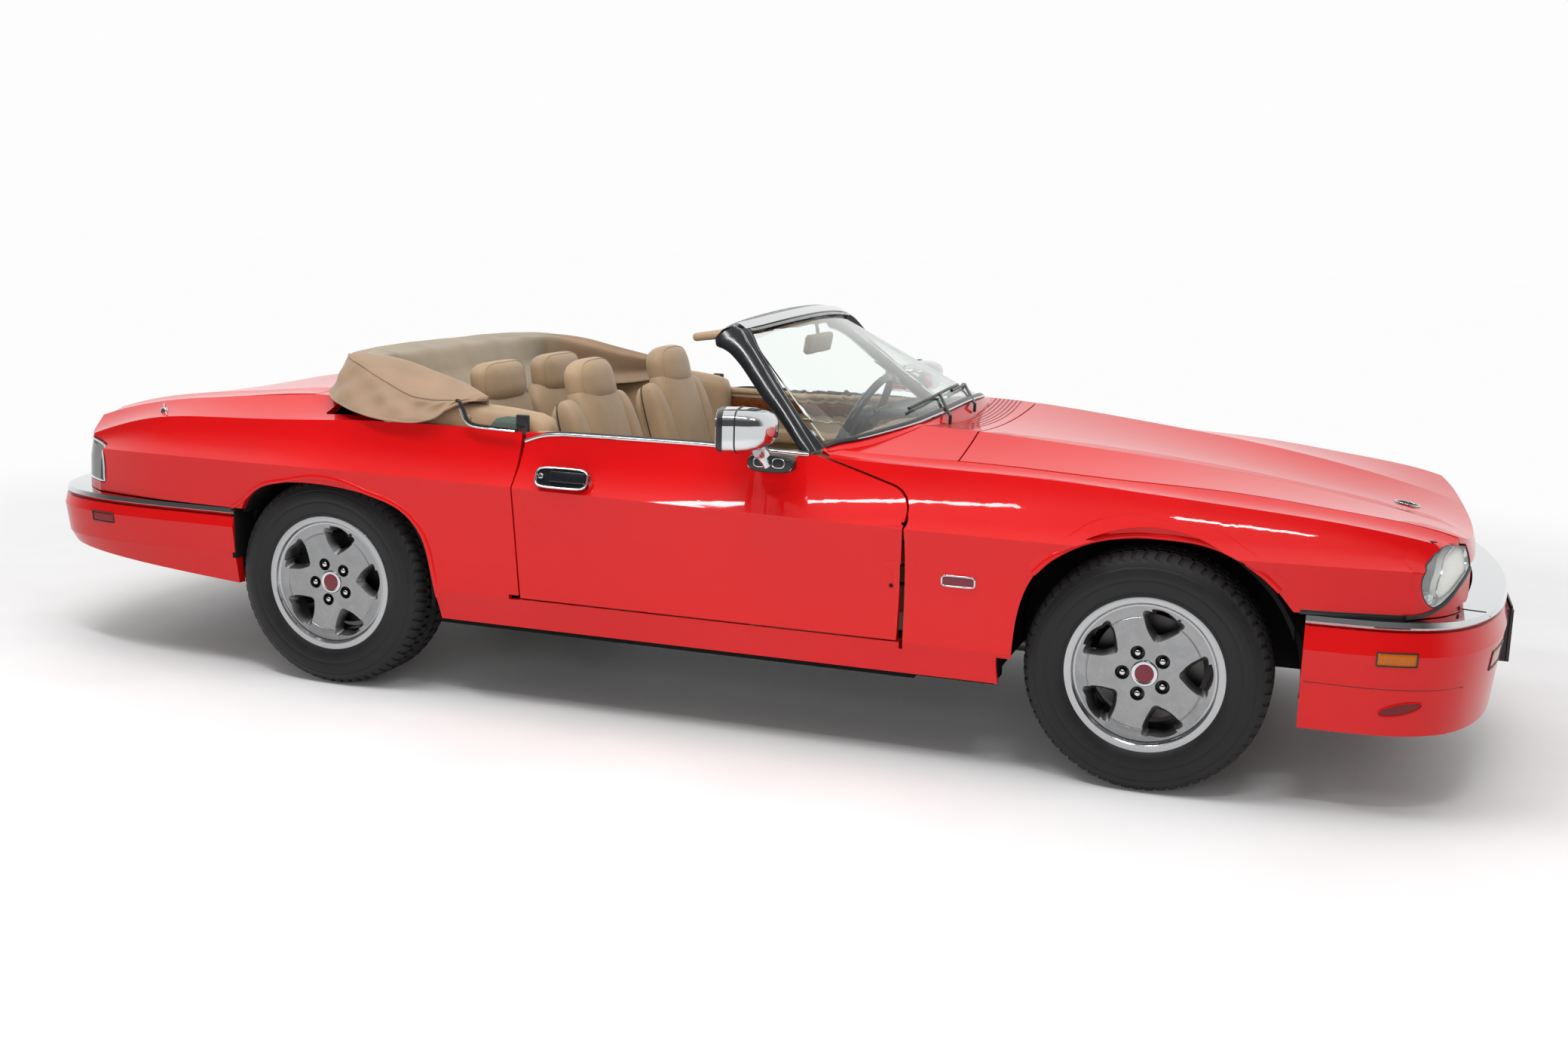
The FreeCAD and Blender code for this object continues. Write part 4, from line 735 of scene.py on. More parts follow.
def loft(name, rows, finish, body="root", caps=True, degrees=35.0, joined_ends=False):
    """A skin through closed rows of points. Joined ends close it the other way, caps fill its ends."""
    verts = [point for row in rows for point in row]
    count = len(rows[0])
    faces = quads(len(rows), count, True, joined_ends)
    if caps and not joined_ends:
        faces.append(tuple(range(count)))
        faces.append(tuple(range((len(rows) - 1) * count, len(rows) * count)))
    return sharp_by_angle(outward(piece(name, verts, faces, finish, body)), degrees)


def sweep(name, path, normals, section, finish, body="root", joined_ends=False):
    """Carries (across, out) pairs in metres along a path, with out along one normal or one per point."""
    if not isinstance(normals, list):
        normals = [Vector(normals)] * len(path)
    count = len(path)
    rows = []
    for i, point in enumerate(path):
        if joined_ends:
            ahead = path[(i + 1) % count] - path[i - 1]
        else:
            ahead = path[min(i + 1, count - 1)] - path[max(i - 1, 0)]
        ahead.normalize()
        out = (normals[i] - ahead * normals[i].dot(ahead)).normalized()
        across = out.cross(ahead)
        rows.append([point + across * a + out * b for a, b in section])
    return loft(name, rows, finish, body, joined_ends=joined_ends)


def round_section(wide, high=None, sides=12):
    """A circle, or an ellipse where a height is named."""
    return [(wide * math.sin(angle), (high or wide) * math.cos(angle)) for angle in turns(sides)]


def half_round(wide, high, sides=8):
    """A bead that stands on a surface, with a flat foot a little inside it."""
    angles = [math.pi * k / sides for k in range(sides + 1)]
    arc = [(-wide * math.cos(angle), high * math.sin(angle)) for angle in angles]
    return arc + [(wide, -0.002), (-wide, -0.002)]


def rounded(name, lengths, radius, at, finish, turn=None, body="root"):
    """A box with rounded edges. Lengths, radius and place are in millimetres."""
    grid = bmesh.new()
    bmesh.ops.create_cube(grid, size=1.0)
    for vert in grid.verts:
        vert.co = Vector(tuple(c * length * MM for c, length in zip(vert.co, lengths)))
    edges = list(grid.edges)
    bmesh.ops.bevel(grid, geom=edges, offset=radius * MM, segments=3, profile=0.5, affect="EDGES")
    turned = (turn or Matrix.Identity(3)).to_4x4()
    bmesh.ops.transform(grid, matrix=Matrix.Translation(Vector(at) * MM) @ turned, verts=grid.verts)
    mesh = bpy.data.meshes.new(name)
    grid.to_mesh(mesh)
    grid.free()
    return sharp_by_angle(dressed(added(name, mesh), finish, body), 40.0)


def frame_ring(name, at, wide, high, section, body, normal, power=5.0):
    """A bright frame on a surface. Returns its path, for the plate inside it."""
    out = Vector(normal).normalized()
    across = Vector((1, 0, 0))
    across = (across - out * across.dot(out)).normalized()
    up = out.cross(across)
    if up.z < 0:
        up = -up
    path = [Vector(at) + across * u * wide / 2 + up * v * high / 2 for u, v in power_ring(40, power)]
    sweep(name, path, out, section, CHROME, body, joined_ends=True)
    return path, out


def placed_along(verts, at, axis):
    """Stands a form turned round the Y axis on a point, along another axis."""
    turned = axis.to_track_quat("Y", "Z").to_matrix()
    return [at + turned @ Vector(v) for v in verts]


def plate(name, path, out, thick, finish, body, dome=0.0):
    """A flat or domed plate inside an outline."""
    middle = sum(path, Vector()) / len(path)
    rows = []
    for scale, level in ((1.0, -thick), (1.0, 0.0), (0.86, dome * 0.5), (0.55, dome * 0.85), (0.2, dome)):
        rows.append([middle + (p - middle) * scale + out * level for p in path])
    return loft(name, rows, finish, body, degrees=50)


def pitched(degrees):
    return Matrix.Rotation(math.radians(degrees), 3, "Y")


def power_point(angle, power):
    """A point on a ring that is round at power 2 and nearly square at 5."""
    c, s = math.cos(angle), math.sin(angle)
    size = (abs(c) ** power + abs(s) ** power) ** (1 / power)
    return c / size, s / size


def power_ring(count, power):
    return [power_point(angle, power) for angle in turns(count)]


class Pad:
    """A stuffed pad. Lengths are its depth, width and height in millimetres, and lean is in degrees."""

    def __init__(self, at, lengths, lean, lying=False, powers=(4.0, 2.6), narrow=0.0, bow=0.0):
        self.at = Vector(at) * MM
        self.deep, self.wide, self.tall = (length * MM / 2 for length in lengths)
        angle = math.radians(lean)
        self.fore = Vector((math.cos(angle), 0, -math.sin(angle)))
        self.along = Vector((math.sin(angle), 0, math.cos(angle)))
        if lying:
            self.fore, self.along = self.along, self.fore
        self.outline, self.side = powers
        self.narrow, self.bow = narrow, bow * MM

    def point(self, angle, depth, grow=1.0):
        """A place on the pad, at an angle round it and at a depth from -1 to 1."""
        scale = max(0.0, 1 - abs(depth) ** self.side) ** (1 / self.side) * grow
        u, v = power_point(angle, self.outline)
        u, v = u * scale, v * scale
        wide = self.wide * (1 - self.narrow * max(v, 0.0) ** 2)
        place = self.at + Vector((0, 1, 0)) * u * wide + self.along * v * self.tall
        return place + self.fore * (depth * self.deep * grow - self.bow * u * u)

    def build(self, name):
        sides, rings = 48, 22
        rows = []
        for ring in range(1, rings):
            value = math.sin(-math.pi / 2 + math.pi * ring / rings)
            depth = math.copysign(abs(value) ** (2 / self.side), value)
            rows.append([self.point(angle, depth) for angle in turns(sides)])
        verts = [point for row in rows for point in row]
        faces = quads(len(rows), sides)
        for row, depth in ((0, -1.0), (len(rows) - 1, 1.0)):
            verts.append(self.at + self.fore * self.deep * depth)
            first, middle = row * sides, len(verts) - 1
            faces.extend((first + i, first + (i + 1) % sides, middle) for i in range(sides))
        outward(piece(name, verts, faces, TAN))

    def welt(self, name, depth, finish=None, radius=2.6):
        """Piping round the pad at one depth."""
        path = [self.point(angle, depth, 1.004) for angle in turns(60)]
        bead = round_section(radius * MM, sides=8)
        sweep(name, path, self.fore, bead, finish or PIPING, joined_ends=True)


# Front seats: a cushion and a back in three pads each, a shell behind them and a headrest.
for side_name, side in SIDES:
    y = side * 330.0
    seat = "seat_" + side_name
    low = (
        ("_base_mid", Pad((-52, y, 424), (118, 306, 500), -6, True, (4.5, 2.6)), None),
        ("_base_inner", Pad((-58, y - side * 192, 430), (156, 92, 496), -6, True, (3.4, 2.6)), 0.25),
        ("_base_outer", Pad((-58, y + side * 192, 430), (156, 92, 496), -6, True, (3.4, 2.6)), 0.25),
    )
    for suffix, pad, welt in low:
        pad.build(seat + suffix)
        if welt is not None:
            pad.welt(seat + suffix + "_welt", welt)
    middle = Pad((-385, y, 728), (112, 324, 600), -16, False, (4.4, 2.8), 0.10, 8)
    middle.build(seat + "_back_mid")
    for suffix, shift in (("_back_inner", -side * 186), ("_back_outer", side * 186)):
        wing = Pad((-386, y + shift, 700), (106, 98, 500), -17, False, (3.6, 2.8))
        wing.build(seat + suffix)
        wing.welt(seat + suffix + "_welt", -0.42)
    Pad((-424, y, 694), (86, 452, 494), -17, False, (5.0, 3.4)).build(seat + "_shell")
    head = Pad((-456, y, 980), (106, 272, 168), -15, False, (3.4, 2.6), 0.10, 6)
    head.build(seat + "_head")
    head.welt(seat + "_head_seam", 0.62, TAN, 1.6)
    crease = [middle.point(math.radians(a), 0.86, 0.62) for a in (205, 235, 270, 305, 335)]
    sweep(seat + "_channel", spline(crease, 5), middle.fore, round_section(0.0022, sides=6), PIPING)
    rounded(seat + "_riser", (430, 350, 160), 12, (-70, y, 335), BLACK)

# Rear seats: a cushion, a back and a headrest on a low riser.
for side_name, side in SIDES:
    y = side * 216.0
    seat = "rear_seat_" + side_name
    base = Pad((-690, y, 492), (116, 396, 356), -8, True, (4.5, 2.6))
    base.build(seat + "_base")
    base.welt(seat + "_base_welt", 0.3, PIPING, 2.2)
    Pad((-838, y, 734), (112, 400, 420), -10, False, (4.6, 2.8), 0.06).build(seat + "_back")
    head = Pad((-860, y, 953), (100, 312, 142), -8, False, (4.4, 2.6), 0.05, 6)
    head.build(seat + "_head")
    head.welt(seat + "_head_seam", 0.58, TAN, 1.6)
    rounded(seat + "_riser", (200, 360, 70), 8, (-740, y, 438), CARPET)

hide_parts("front_seats")
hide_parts("rear_seats")


# Quarter pads behind the doors, each with a round button, and the lowered quarter glass.
for side_name, side in SIDES:
    name = "quarter_pad_" + side_name
    rings = []
    stations = [
        (-880, 905, 800, 30), (-860, 928, 770, 44), (-760, 938, 720, 52), (-640, 940, 700, 54),
        (-520, 932, 700, 52), (-430, 922, 705, 48), (-392, 908, 730, 40), (-378, 880, 780, 24),
    ]
    for x, top, foot, half in stations:
        ring = []
        for across, up in power_ring(28, 3.6):
            height = (top + foot) / 2 + up * (top - foot) / 2
            ring.append(Vector((x, -side * (-745 + across * half), height)) * MM)
        rings.append([Vector((p.x, side * abs(p.y), p.z)) for p in ring])
    pad = loft(name, rings, TAN, degrees=60)
    button = [(0.0, 0.007), (0.010, 0.0065), (0.0135, 0.004), (0.0145, -0.004)]
    verts, faces = lathe(button, 20)
    at = Vector((-0.655, side * 0.796, 0.897))
    verts = [at + Vector((v[0], side * v[1], v[2])) for v in verts]
    outward(piece("pad_button_" + side_name, verts, faces, TAN_LIGHT))
    pane = [(-612, 868), (-567, 881), (-546, 905), (-510, 914), (-470, 914), (-462, 868)]
    rows = []
    for y in (-808, -812):
        rows.append(flipped([Vector((x, y, z)) * MM for x, z in pane], side))
    loft("quarter_glass_" + side_name, rows, SMOKED)
    rounded("glass_guide_" + side_name, (40, 18, 62), 4, (-452, side * 816, 892), BLACK)


# The folded hood under its cover: side panels with a piped edge, and pleats across the middle.
HEM = [
    (-602, -768, 953), (-660, -806, 948), (-705, -838, 926), (-745, -850, 895), (-830, -852, 878),
    (-960, -846, 884), (-1090, -804, 905), (-1196, -724, 925), (-1285, -560, 936), (-1318, -300, 942),
    (-1325, 0, 946),
]
PIPED = [
    (-600, -765, 959), (-668, -790, 952), (-730, -798, 948), (-790, -800, 948), (-860, -792, 956),
    (-970, -762, 992), (-1080, -715, 1028), (-1178, -648, 1052), (-1238, -480, 1052), (-1256, -240, 1055),
    (-1262, 0, 1058),
]
CREST = [
    (-600, -758, 962), (-660, -728, 978), (-715, -702, 993), (-770, -688, 1006), (-850, -672, 1024),
    (-950, -650, 1046), (-1050, -625, 1058), (-1130, -596, 1064), (-1172, -440, 1068),
    (-1185, -220, 1070), (-1190, 0, 1070),
]
INNER = [
    (-602, -752, 956), (-664, -708, 968), (-722, -676, 976), (-780, -658, 986), (-860, -640, 1000),
    (-950, -612, 1022), (-1040, -588, 1040), (-1092, -560, 1050), (-1104, -420, 1052),
    (-1108, -210, 1054), (-1110, 0, 1056),
]
# How far the cloth of the hood shows: in from the middle, and up from the hem.
CLOTH_SIDE, CLOTH_START = 0.40, 0.51
FALL = [
    (-604, -752, 938), (-672, -716, 930), (-734, -690, 920), (-792, -674, 914), (-872, -656, 912),
    (-962, -634, 916), (-1052, -604, 924), (-1096, -560, 934), (-1066, -420, 950), (-1052, -210, 958),
    (-1050, 0, 962),
]
WELL = [
    (-606, -744, 905), (-674, -700, 895), (-736, -668, 885), (-794, -650, 878), (-872, -628, 872),
    (-950, -590, 868), (-1010, -545, 866), (-1015, -480, 868), (-975, -390, 872), (-955, -200, 876),
    (-950, 0, 880),
]


# How much of the cover's half width is pleated, and its width laid flat.
PLEATED, HOOD_WIDTH = 0.42, 2.6
# Middle and width of the folds above the hem, those over the piping and the pleats on top, in parts
# of the way from the hem to the well.
FOLDS = ((0.20, 0.12), (0.47, 0.09), (0.73, 0.19))


def between(a, b, part, lift=0.0):
    """A row of points part of the way from row a to row b, and lifted."""
    mixed = []
    for m, n in zip(a, b):
        x, y, z = (p * (1 - part) + q * part for p, q in zip(m, n))
        mixed.append((x, y, z + lift))
    return mixed


def cover():
    """The folded hood: rows from its hem over the crest and down into the well, with its folds."""
    under = [(x + 6, y * 0.992, z + 3) for x, y, z in HEM]
    guides = (
        under,
        HEM,
        between(HEM, PIPED, 0.33, 2),
        between(HEM, PIPED, 0.66, 3),
        PIPED,
        between(PIPED, CREST, 0.5, 5),
        CREST,
        between(CREST, INNER, 0.5, 3),
        INNER,
        between(INNER, FALL, 0.5),
        FALL,
        WELL,
    )
    rails = [whole(row, 9) for row in guides]
    count = len(rails[0])
    columns = [spline([rail[i] for rail in rails], 4) for i in range(count)]
    width = len(columns[0])
    placed = []
    for i, column in enumerate(columns):
        t = i / (count - 1)
        side = abs(2 * t - 1)
        row = []
        for j, point in enumerate(column):
            level = j / (width - 1)
            out = Vector((point.x + 0.85, point.y, 0.25)).normalized()
            lower, upper, pleat = (math.exp(-((level - at) / wide) ** 2) for at, wide in FOLDS)
            x = point.x
            fold = lower * 0.007 * math.sin(26 * x + 22 * level + 1.4) * (0.4 + 0.6 * side)
            fold += lower * 0.004 * math.sin(61 * x - 34 * level)
            fold += upper * 0.003 * math.sin(17 * x + 9 * point.y)
            lift = 0.0
            if side < PLEATED:
                wave = abs(math.sin(13.5 * point.y + 5.5 * x)) ** 0.6
                lift = -pleat * 0.009 * (1 - (side / PLEATED) ** 4) * wave
            row.append(point + out * fold + Vector((0, 0, lift)))
        placed.append(row)
    verts = [point for row in placed for point in row]
    made = outward(piece("hood_stack", verts, quads(count, width, False), [TAN_LIGHT, TAN_CLOTH]))
    for index, polygon in enumerate(made.data.polygons):
        a, j = divmod(index, width - 1)
        side = abs(2 * a / (count - 1) - 1)
        if side < CLOTH_SIDE and j > CLOTH_START * (width - 1):
            polygon.material_index = 1
    thickened(made, 0.004)
    return placed


# The piped seam and the hem are rows of the cover, counted from its lower edge.
PIPED_ROW, HEM_ROW = 16, 4
cover_rows = cover()
piped = [row[PIPED_ROW] for row in cover_rows]
count = len(piped)
outs = [Vector((p.x + 0.95, p.y, 0.6)).normalized() for p in piped]
for name, start, end in (("cover_welt_right", 4, 66), ("cover_welt_left", count - 67, count - 5)):
    sweep(
        name,
        [p + n * 0.0015 for p, n in zip(piped[start:end], outs[start:end])],
        outs[start:end],
        round_section(0.0032, sides=8),
        TAN_LIGHT,
    )
hem = [row[HEM_ROW] for row in cover_rows]
sweep(
    "cover_hem",
    [p + Vector((0, 0, 0.001)) for p in hem],
    [Vector((p.x + 0.95, p.y, 0.0)).normalized() for p in hem],
    round_section(0.0035, 0.0050, 8),
    TAN_LIGHT,
)
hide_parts("hood_cover")


# Windscreen surround: black pillars with bright lines, and the header between them.
REAR_EDGE = [
    (72, -563, 1170), (82, -577, 1146), (104, -583, 1139), (135, -592, 1124), (178, -610, 1089),
    (228, -638, 1040), (267, -660, 1003), (323, -687, 955), (355, -705, 925), (394, -728, 888),
    (424, -742, 858),
]
BRIGHT_EDGE = [
    (124, -541, 1207), (140, -546, 1200), (157, -552, 1190), (180, -568, 1164), (227, -596, 1113),
    (264, -618, 1074), (300, -640, 1037), (360, -676, 975), (396, -697, 938), (434, -718, 898),
    (462, -733, 868),
]
GLASS_EDGE = [
    (168, -520, 1198), (182, -532, 1188), (196, -545, 1172), (214, -560, 1148), (252, -584, 1104),
    (290, -608, 1064), (330, -634, 1022), (384, -668, 968), (418, -688, 938), (450, -702, 914),
    (486, -712, 880),
]


# Which way the pillars run.
PILLAR_RUN = Vector((0.5, 0, -0.86))


def pillar(name, side):
    """A black shell from the rear edge over the bright line to the glass, closed on the inside."""
    rear, bright, pane = (mirrored(row, side, 5) for row in (REAR_EDGE, BRIGHT_EDGE, GLASS_EDGE))
    rows, bright_path, pane_path, normals = [], [], [], []
    for r, b, g in zip(rear, bright, pane):
        outer = (b - r).cross(PILLAR_RUN).normalized()
        if outer.y * side < 0:
            outer = -outer
        inner = Vector((0, -side, 0))
        swell = r.lerp(b, 0.5) + outer * 0.007
        groove = b.lerp(g, 0.5) - outer * 0.002
        rows.append(
            [
                r,
                r.lerp(b, 0.14) + outer * 0.0055,
                swell,
                r.lerp(b, 0.86) + outer * 0.005,
                b,
                groove,
                g,
                g + inner * 0.022 + Vector((-0.012, 0, -0.010)),
                r + inner * 0.040 + Vector((0.012, 0, 0.004)),
                r + inner * 0.016 + Vector((-0.002, 0, -0.003)),
            ]
        )
        bright_path.append(b + outer * 0.001)
        pane_path.append(g.lerp(b, 0.22) + outer * 0.0005)
        normals.append(outer)
    loft("pillar_" + name, rows, GLOSS_BLACK, degrees=50)
    bead = round_section(0.0030, sides=8)
    sweep("pillar_line_" + name, bright_path, normals, bead, CHROME)
    sweep("pillar_glass_line_" + name, pane_path, normals, round_section(0.0016, sides=6), BRUSHED)


for side_name, side in SIDES:
    pillar(side_name, side)

HEADER_REAR = [
    (72, -560, 1170), (92, -520, 1192), (112, -440, 1212), (134, -300, 1228), (152, -150, 1238),
    (157, 0, 1241),
]
HEADER_TOP = [
    (118, -544, 1206), (128, -510, 1214), (148, -436, 1223), (168, -300, 1235), (180, -150, 1243),
    (184, 0, 1246),
]
HEADER_PANE = [
    (166, -520, 1196), (172, -496, 1192), (190, -430, 1198), (212, -300, 1208), (228, -150, 1216),
    (232, 0, 1219),
]
HEADER_UNDER = [
    (92, -540, 1164), (104, -500, 1170), (122, -430, 1184), (146, -300, 1200), (164, -150, 1210),
    (170, 0, 1214),
]
header_rows = [whole(row, 8) for row in (HEADER_REAR, HEADER_TOP, HEADER_PANE, HEADER_UNDER)]
rows = []
for rear, top, pane, under in zip(*header_rows):
    rows.append(
        [
            rear,
            rear.lerp(top, 0.5) + Vector((-0.004, 0, 0.006)),
            top,
            top.lerp(pane, 0.5) + Vector((0.004, 0, 0.004)),
            pane,
            pane + Vector((-0.010, 0, -0.012)),
            under,
        ]
    )
loft("header_cover", rows, GLOSS_BLACK, degrees=50)
header_out = Vector((0.5, 0, 0.86))
band = [top.lerp(pane, 0.42) + Vector((0.0036, 0, 0.0046)) for _, top, pane, _ in zip(*header_rows)]
flat_band = [
    (-0.017, -0.003), (-0.017, 0.0006), (-0.012, 0.0024), (0.012, 0.0024), (0.017, 0.0006),
    (0.017, -0.003),
]
sweep("header_band", band[3:-3], header_out, flat_band, BAND)
strip = [pane.lerp(top, 0.06) + Vector((0.002, 0, 0.002)) for _, top, pane, _ in zip(*header_rows)]
sweep("header_strip", strip[3:-3], header_out, round_section(0.0052, 0.0036, 8), BRUSHED)
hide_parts("windscreen_frame")

# The foot of the glass: black seal and a bright line from pillar to pillar.
FOOT = [
    (486, -712, 882), (520, -694, 896), (570, -652, 906), (630, -560, 922), (684, -458, 938),
    (710, -350, 950), (727, -220, 958), (735, -100, 964), (738, 0, 966),
]
foot_path = whole(FOOT, 6)
foot_out = Vector((0.55, 0, 0.83))
seal = [
    (-0.011, -0.006), (-0.011, 0.003), (-0.004, 0.006), (0.006, 0.005), (0.013, 0.001), (0.013, -0.006),
]
sweep("glass_seal", foot_path, foot_out, seal, BLACK)
bright_foot = [p + Vector((0.009, 0, -0.001)) for p in foot_path]
sweep("glass_foot_line", bright_foot, foot_out, round_section(0.0035, sides=8), CHROME)

# A painted strip joins the foot of the glass to the cowl and the wings.
scuttle_tree = tree_of("cowl_panel front_wings")
scuttle_rows = []
for index, place in enumerate(foot_path):
    before, after = foot_path[max(index - 1, 0)], foot_path[min(index + 1, len(foot_path) - 1)]
    along = (after - before).normalized()
    ahead = Vector((along.y, -along.x, 0)).normalized()
    if ahead.x < 0:
        ahead = -ahead
    for reach in (0.022, 0.034, 0.046, 0.060, 0.078):
        near = place + ahead * reach
        spot = from_above(scuttle_tree, near.x, near.y, near.z + 0.05, 0.14)
        if spot is not None:
            break
    if spot is None:
        continue
    top = place + ahead * 0.004 + Vector((0, 0, -0.006))
    edge = spot + ahead * 0.008 + Vector((0, 0, 0.0008))
    crown = top.lerp(edge, 0.5) + Vector((0, 0, 0.001))
    scuttle_rows.append([top - Vector((0, 0, 0.008)), top, crown, edge, edge - Vector((0, 0, 0.010))])
loft("scuttle_strip", scuttle_rows, RED, degrees=50)

# The inner mirror's pane and the sun visors.
rounded("mirror_pane", (2, 216, 48), 1, (208, 0, 1125), CHROME, pitched(8))
for side_name, side in SIDES:
    rounded("visor_" + side_name, (140, 390, 26), 11, (36, side * 300, 1170), TAN, pitched(-8))


# Belt line: a black wiper seal and a bright strip on each door and round each quarter.
def belt_path(name, xs, side, start_y, z=1.1):
    """The top of a door's outer skin, found from outside in."""
    tree = tree_of(name)
    path = []
    for x in xs:
        best = None
        for k in range(30):
            place = from_above(tree, x * MM, side * (start_y - k * 3) * MM, z, 2.0)
            if place is None or place.z < 0.80:
                continue
            if best is None or place.z > best.z + 0.004:
                best = place
            if best is not None and place.z < best.z - 0.002:
                break
        if best is not None:
            path.append(best)
    return path


# The bright line round the right quarter, in millimetres.
QUARTER_LINE = [
    (-668, -852, 952), (-655, -855, 948), (-642, -855, 922), (-632, -855, 900), (-616, -856, 886),
    (-590, -857, 880), (-550, -858, 878), (-500, -859, 877), (-456, -860, 876),
]

for side_name, side in SIDES:
    door = "door_" + side_name
    smooth = spline(evened(belt_path(door, range(-436, 470, 30), side, 888)), 2)
    out = Vector((0, side * 0.5, 0.86))
    sweep("belt_strip_" + side_name, smooth, out, half_round(0.0048, 0.0050), CHROME, door)
    sealed = [p + Vector((0, -side * 0.0125, 0.0005)) for p in smooth]
    sweep("belt_seal_" + side_name, sealed, out, half_round(0.0065, 0.0085), BLACK, door)
    bright = mirrored(QUARTER_LINE, side, 5)
    out = Vector((0, side, 0.3))
    sweep("quarter_strip_" + side_name, bright[8:], out, round_section(0.0036, sides=8), CHROME)
    inner = [p + Vector((0.004, -side * 0.006, 0.004)) for p in bright]
    wide_seal = round_section(0.0060, 0.0055, 10)
    sweep("quarter_seal_" + side_name, inner, out, wide_seal, BLACK)


# Door handles: a recessed black tray in a bright frame, a pull bar and a lock.
# The handle's outer face leans inwards towards its top.
HANDLE_AT, HANDLE_OUT = (-0.284, 0.8905, 0.750), (0, 0.94, 0.34)

for side_name, side in SIDES:
    at, normal = (Vector((x, side * y, z)) for x, y, z in (HANDLE_AT, HANDLE_OUT))
    body = "door_" + side_name
    edge = half_round(0.0042, 0.0055, 6)
    path, out = frame_ring("handle_frame_" + side_name, at, 0.166, 0.060, edge, body, normal)
    plate("handle_tray_" + side_name, path, out, 0.030, GLOSS_BLACK, body)
    bar = Vector((0.022, 0, 0)) + at + out * 0.004 + Vector((0, 0, 0.003))
    turn = Matrix.Rotation(math.atan2(HANDLE_OUT[2], HANDLE_OUT[1]) * side, 3, "X")
    rounded("handle_pull_" + side_name, (116, 9, 34), 4, bar / MM, GLOSS_BLACK, turn, body)
    low = bar + Vector((0, side * 0.004, -0.014))
    rounded("handle_lip_" + side_name, (116, 5, 4), 1.6, low / MM, CHROME, turn, body)
    verts, faces = lathe([(0.0, 0.006), (0.0060, 0.006), (0.0085, 0.0045), (0.0090, -0.002)], 20)
    centre = at + Vector((-0.066, 0, 0.002)) + out * 0.002
    outward(piece("handle_lock_" + side_name, placed_along(verts, centre, out), faces, CHROME, body))
    slit = (centre + out * 0.0062) / MM
    rounded("handle_slot_" + side_name, (2, 2, 8), 0.6, slit, BLACK, turn, body)


# Door mirrors: a bright shell with a black rear edge on a dark foot.
def mirror(side_name, side):
    body = "door_" + side_name
    stations = [
        (0.213, 0.93, 0.90), (0.222, 0.99, 0.98), (0.240, 1.0, 1.0), (0.290, 1.0, 1.0),
        (0.335, 0.97, 0.96), (0.372, 0.86, 0.86), (0.398, 0.66, 0.68), (0.412, 0.40, 0.44),
        (0.418, 0.14, 0.16),
    ]
    rows = []
    for x, wide, high in stations:
        row = []
        lean = 0.010 * (x - 0.213) / 0.2
        for u, v in power_ring(40, 4.2):
            turned = 0.058 * (u * wide + 1) / 2 * (0.418 - x) / 0.205
            across, up = 0.963 + u * 0.089 * wide, 0.9425 + lean + v * 0.060 * high
            row.append(Vector((x + turned, side * across, up)))
        rows.append(row)
    loft("mirror_shell_" + side_name, rows[2:], CHROME, body, degrees=60)
    loft("mirror_rim_" + side_name, rows[:3], BLACK, body, degrees=60)
    groove = [p + (p - Vector((p.x, side * 0.963, 0.943))).normalized() * 0.0008 for p in rows[3]]
    line = round_section(0.0022, sides=6)
    sweep("mirror_groove_" + side_name, groove, Vector((1, 0, 0)), line, BLACK, body, joined_ends=True)
    pane = [p - Vector((0.0012, 0, 0)) for p in rows[0]]
    plate("mirror_glass_" + side_name, pane, Vector((-1, 0, 0)), 0.004, CHROME, body)
    neck = mirrored([(352, -930, 892), (358, -912, 878), (366, -900, 862), (372, -892, 846)], side, 4)
    stalk = round_section(0.030, 0.016, 16)
    sweep("mirror_neck_" + side_name, neck, Vector((1, 0, 0.2)), stalk, CHROME, body)
    foot = []
    for grow, y, z in (
        (1.0, 0.868, 0), (1.0, 0.886, 0), (0.98, 0.900, 0), (0.90, 0.907, 0.001), (0.70, 0.910, 0.002),
    ):
        ring = [(0.070 * grow * u, 0.026 * grow * v) for u, v in power_ring(36, 3.4)]
        foot.append([Vector((0.380 + u, side * y, 0.845 + z + v)) for u, v in ring])
    loft("mirror_foot_" + side_name, foot, BLACK, body, degrees=50)
    for name, x in (("_front", 0.408), ("_rear", 0.352)):
        edge = half_round(0.0024, 0.0036, 6)
        at, out = (x, side * 0.9085, 0.850), (0, side, 0.15)
        frame_ring("mirror_foot_ring_" + side_name + name, at, 0.036, 0.026, edge, body, out, 3.0)
    line = []
    for k in range(10):
        u, v = power_point(math.radians(200 + 140 * k / 9), 3.4)
        line.append(Vector((0.380 + u * 0.067, side * 0.9035, 0.845 + v * 0.0205)))
    bead = round_section(0.0013, sides=6)
    sweep("mirror_foot_line_" + side_name, line, (0, side, 0), bead, CHROME, body)


for side_name, side in SIDES:
    mirror(side_name, side)
    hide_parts("door_mirror_" + side_name)


# Headlamps: a chromed bowl behind a clear cover, a fluted lens whose pale colour is painted light, and a
# small round lamp beside it.
LAMP_AXIS = Vector((math.cos(math.radians(-28)), math.sin(math.radians(-28)), 0))
LAMP_CENTRE = (2.215, 0.655, 0.662)
LAMP_COUNT = 72


def lamp_frame(side):
    """The lamp's centre, its axis and the level line across it."""
    axis = Vector((LAMP_AXIS.x, LAMP_AXIS.y * -side, 0))
    across = Vector((-LAMP_AXIS.y, LAMP_AXIS.x * -side, 0))
    x, y, z = LAMP_CENTRE
    return Vector((x, side * y, z)), axis, across


def lamp_point(tree, side, u, v):
    """The surface under a place given across and up from the lamp's centre."""
    centre, axis, across = lamp_frame(side)
    start = centre + across * u + Vector((0, 0, v)) + axis * 0.4
    return cast(tree, start, -axis, 0.9)[0]


def polar(middle, reach, angle):
    """The place at a distance and an angle from a middle."""
    return middle[0] + reach * math.cos(angle), middle[1] + reach * math.sin(angle)


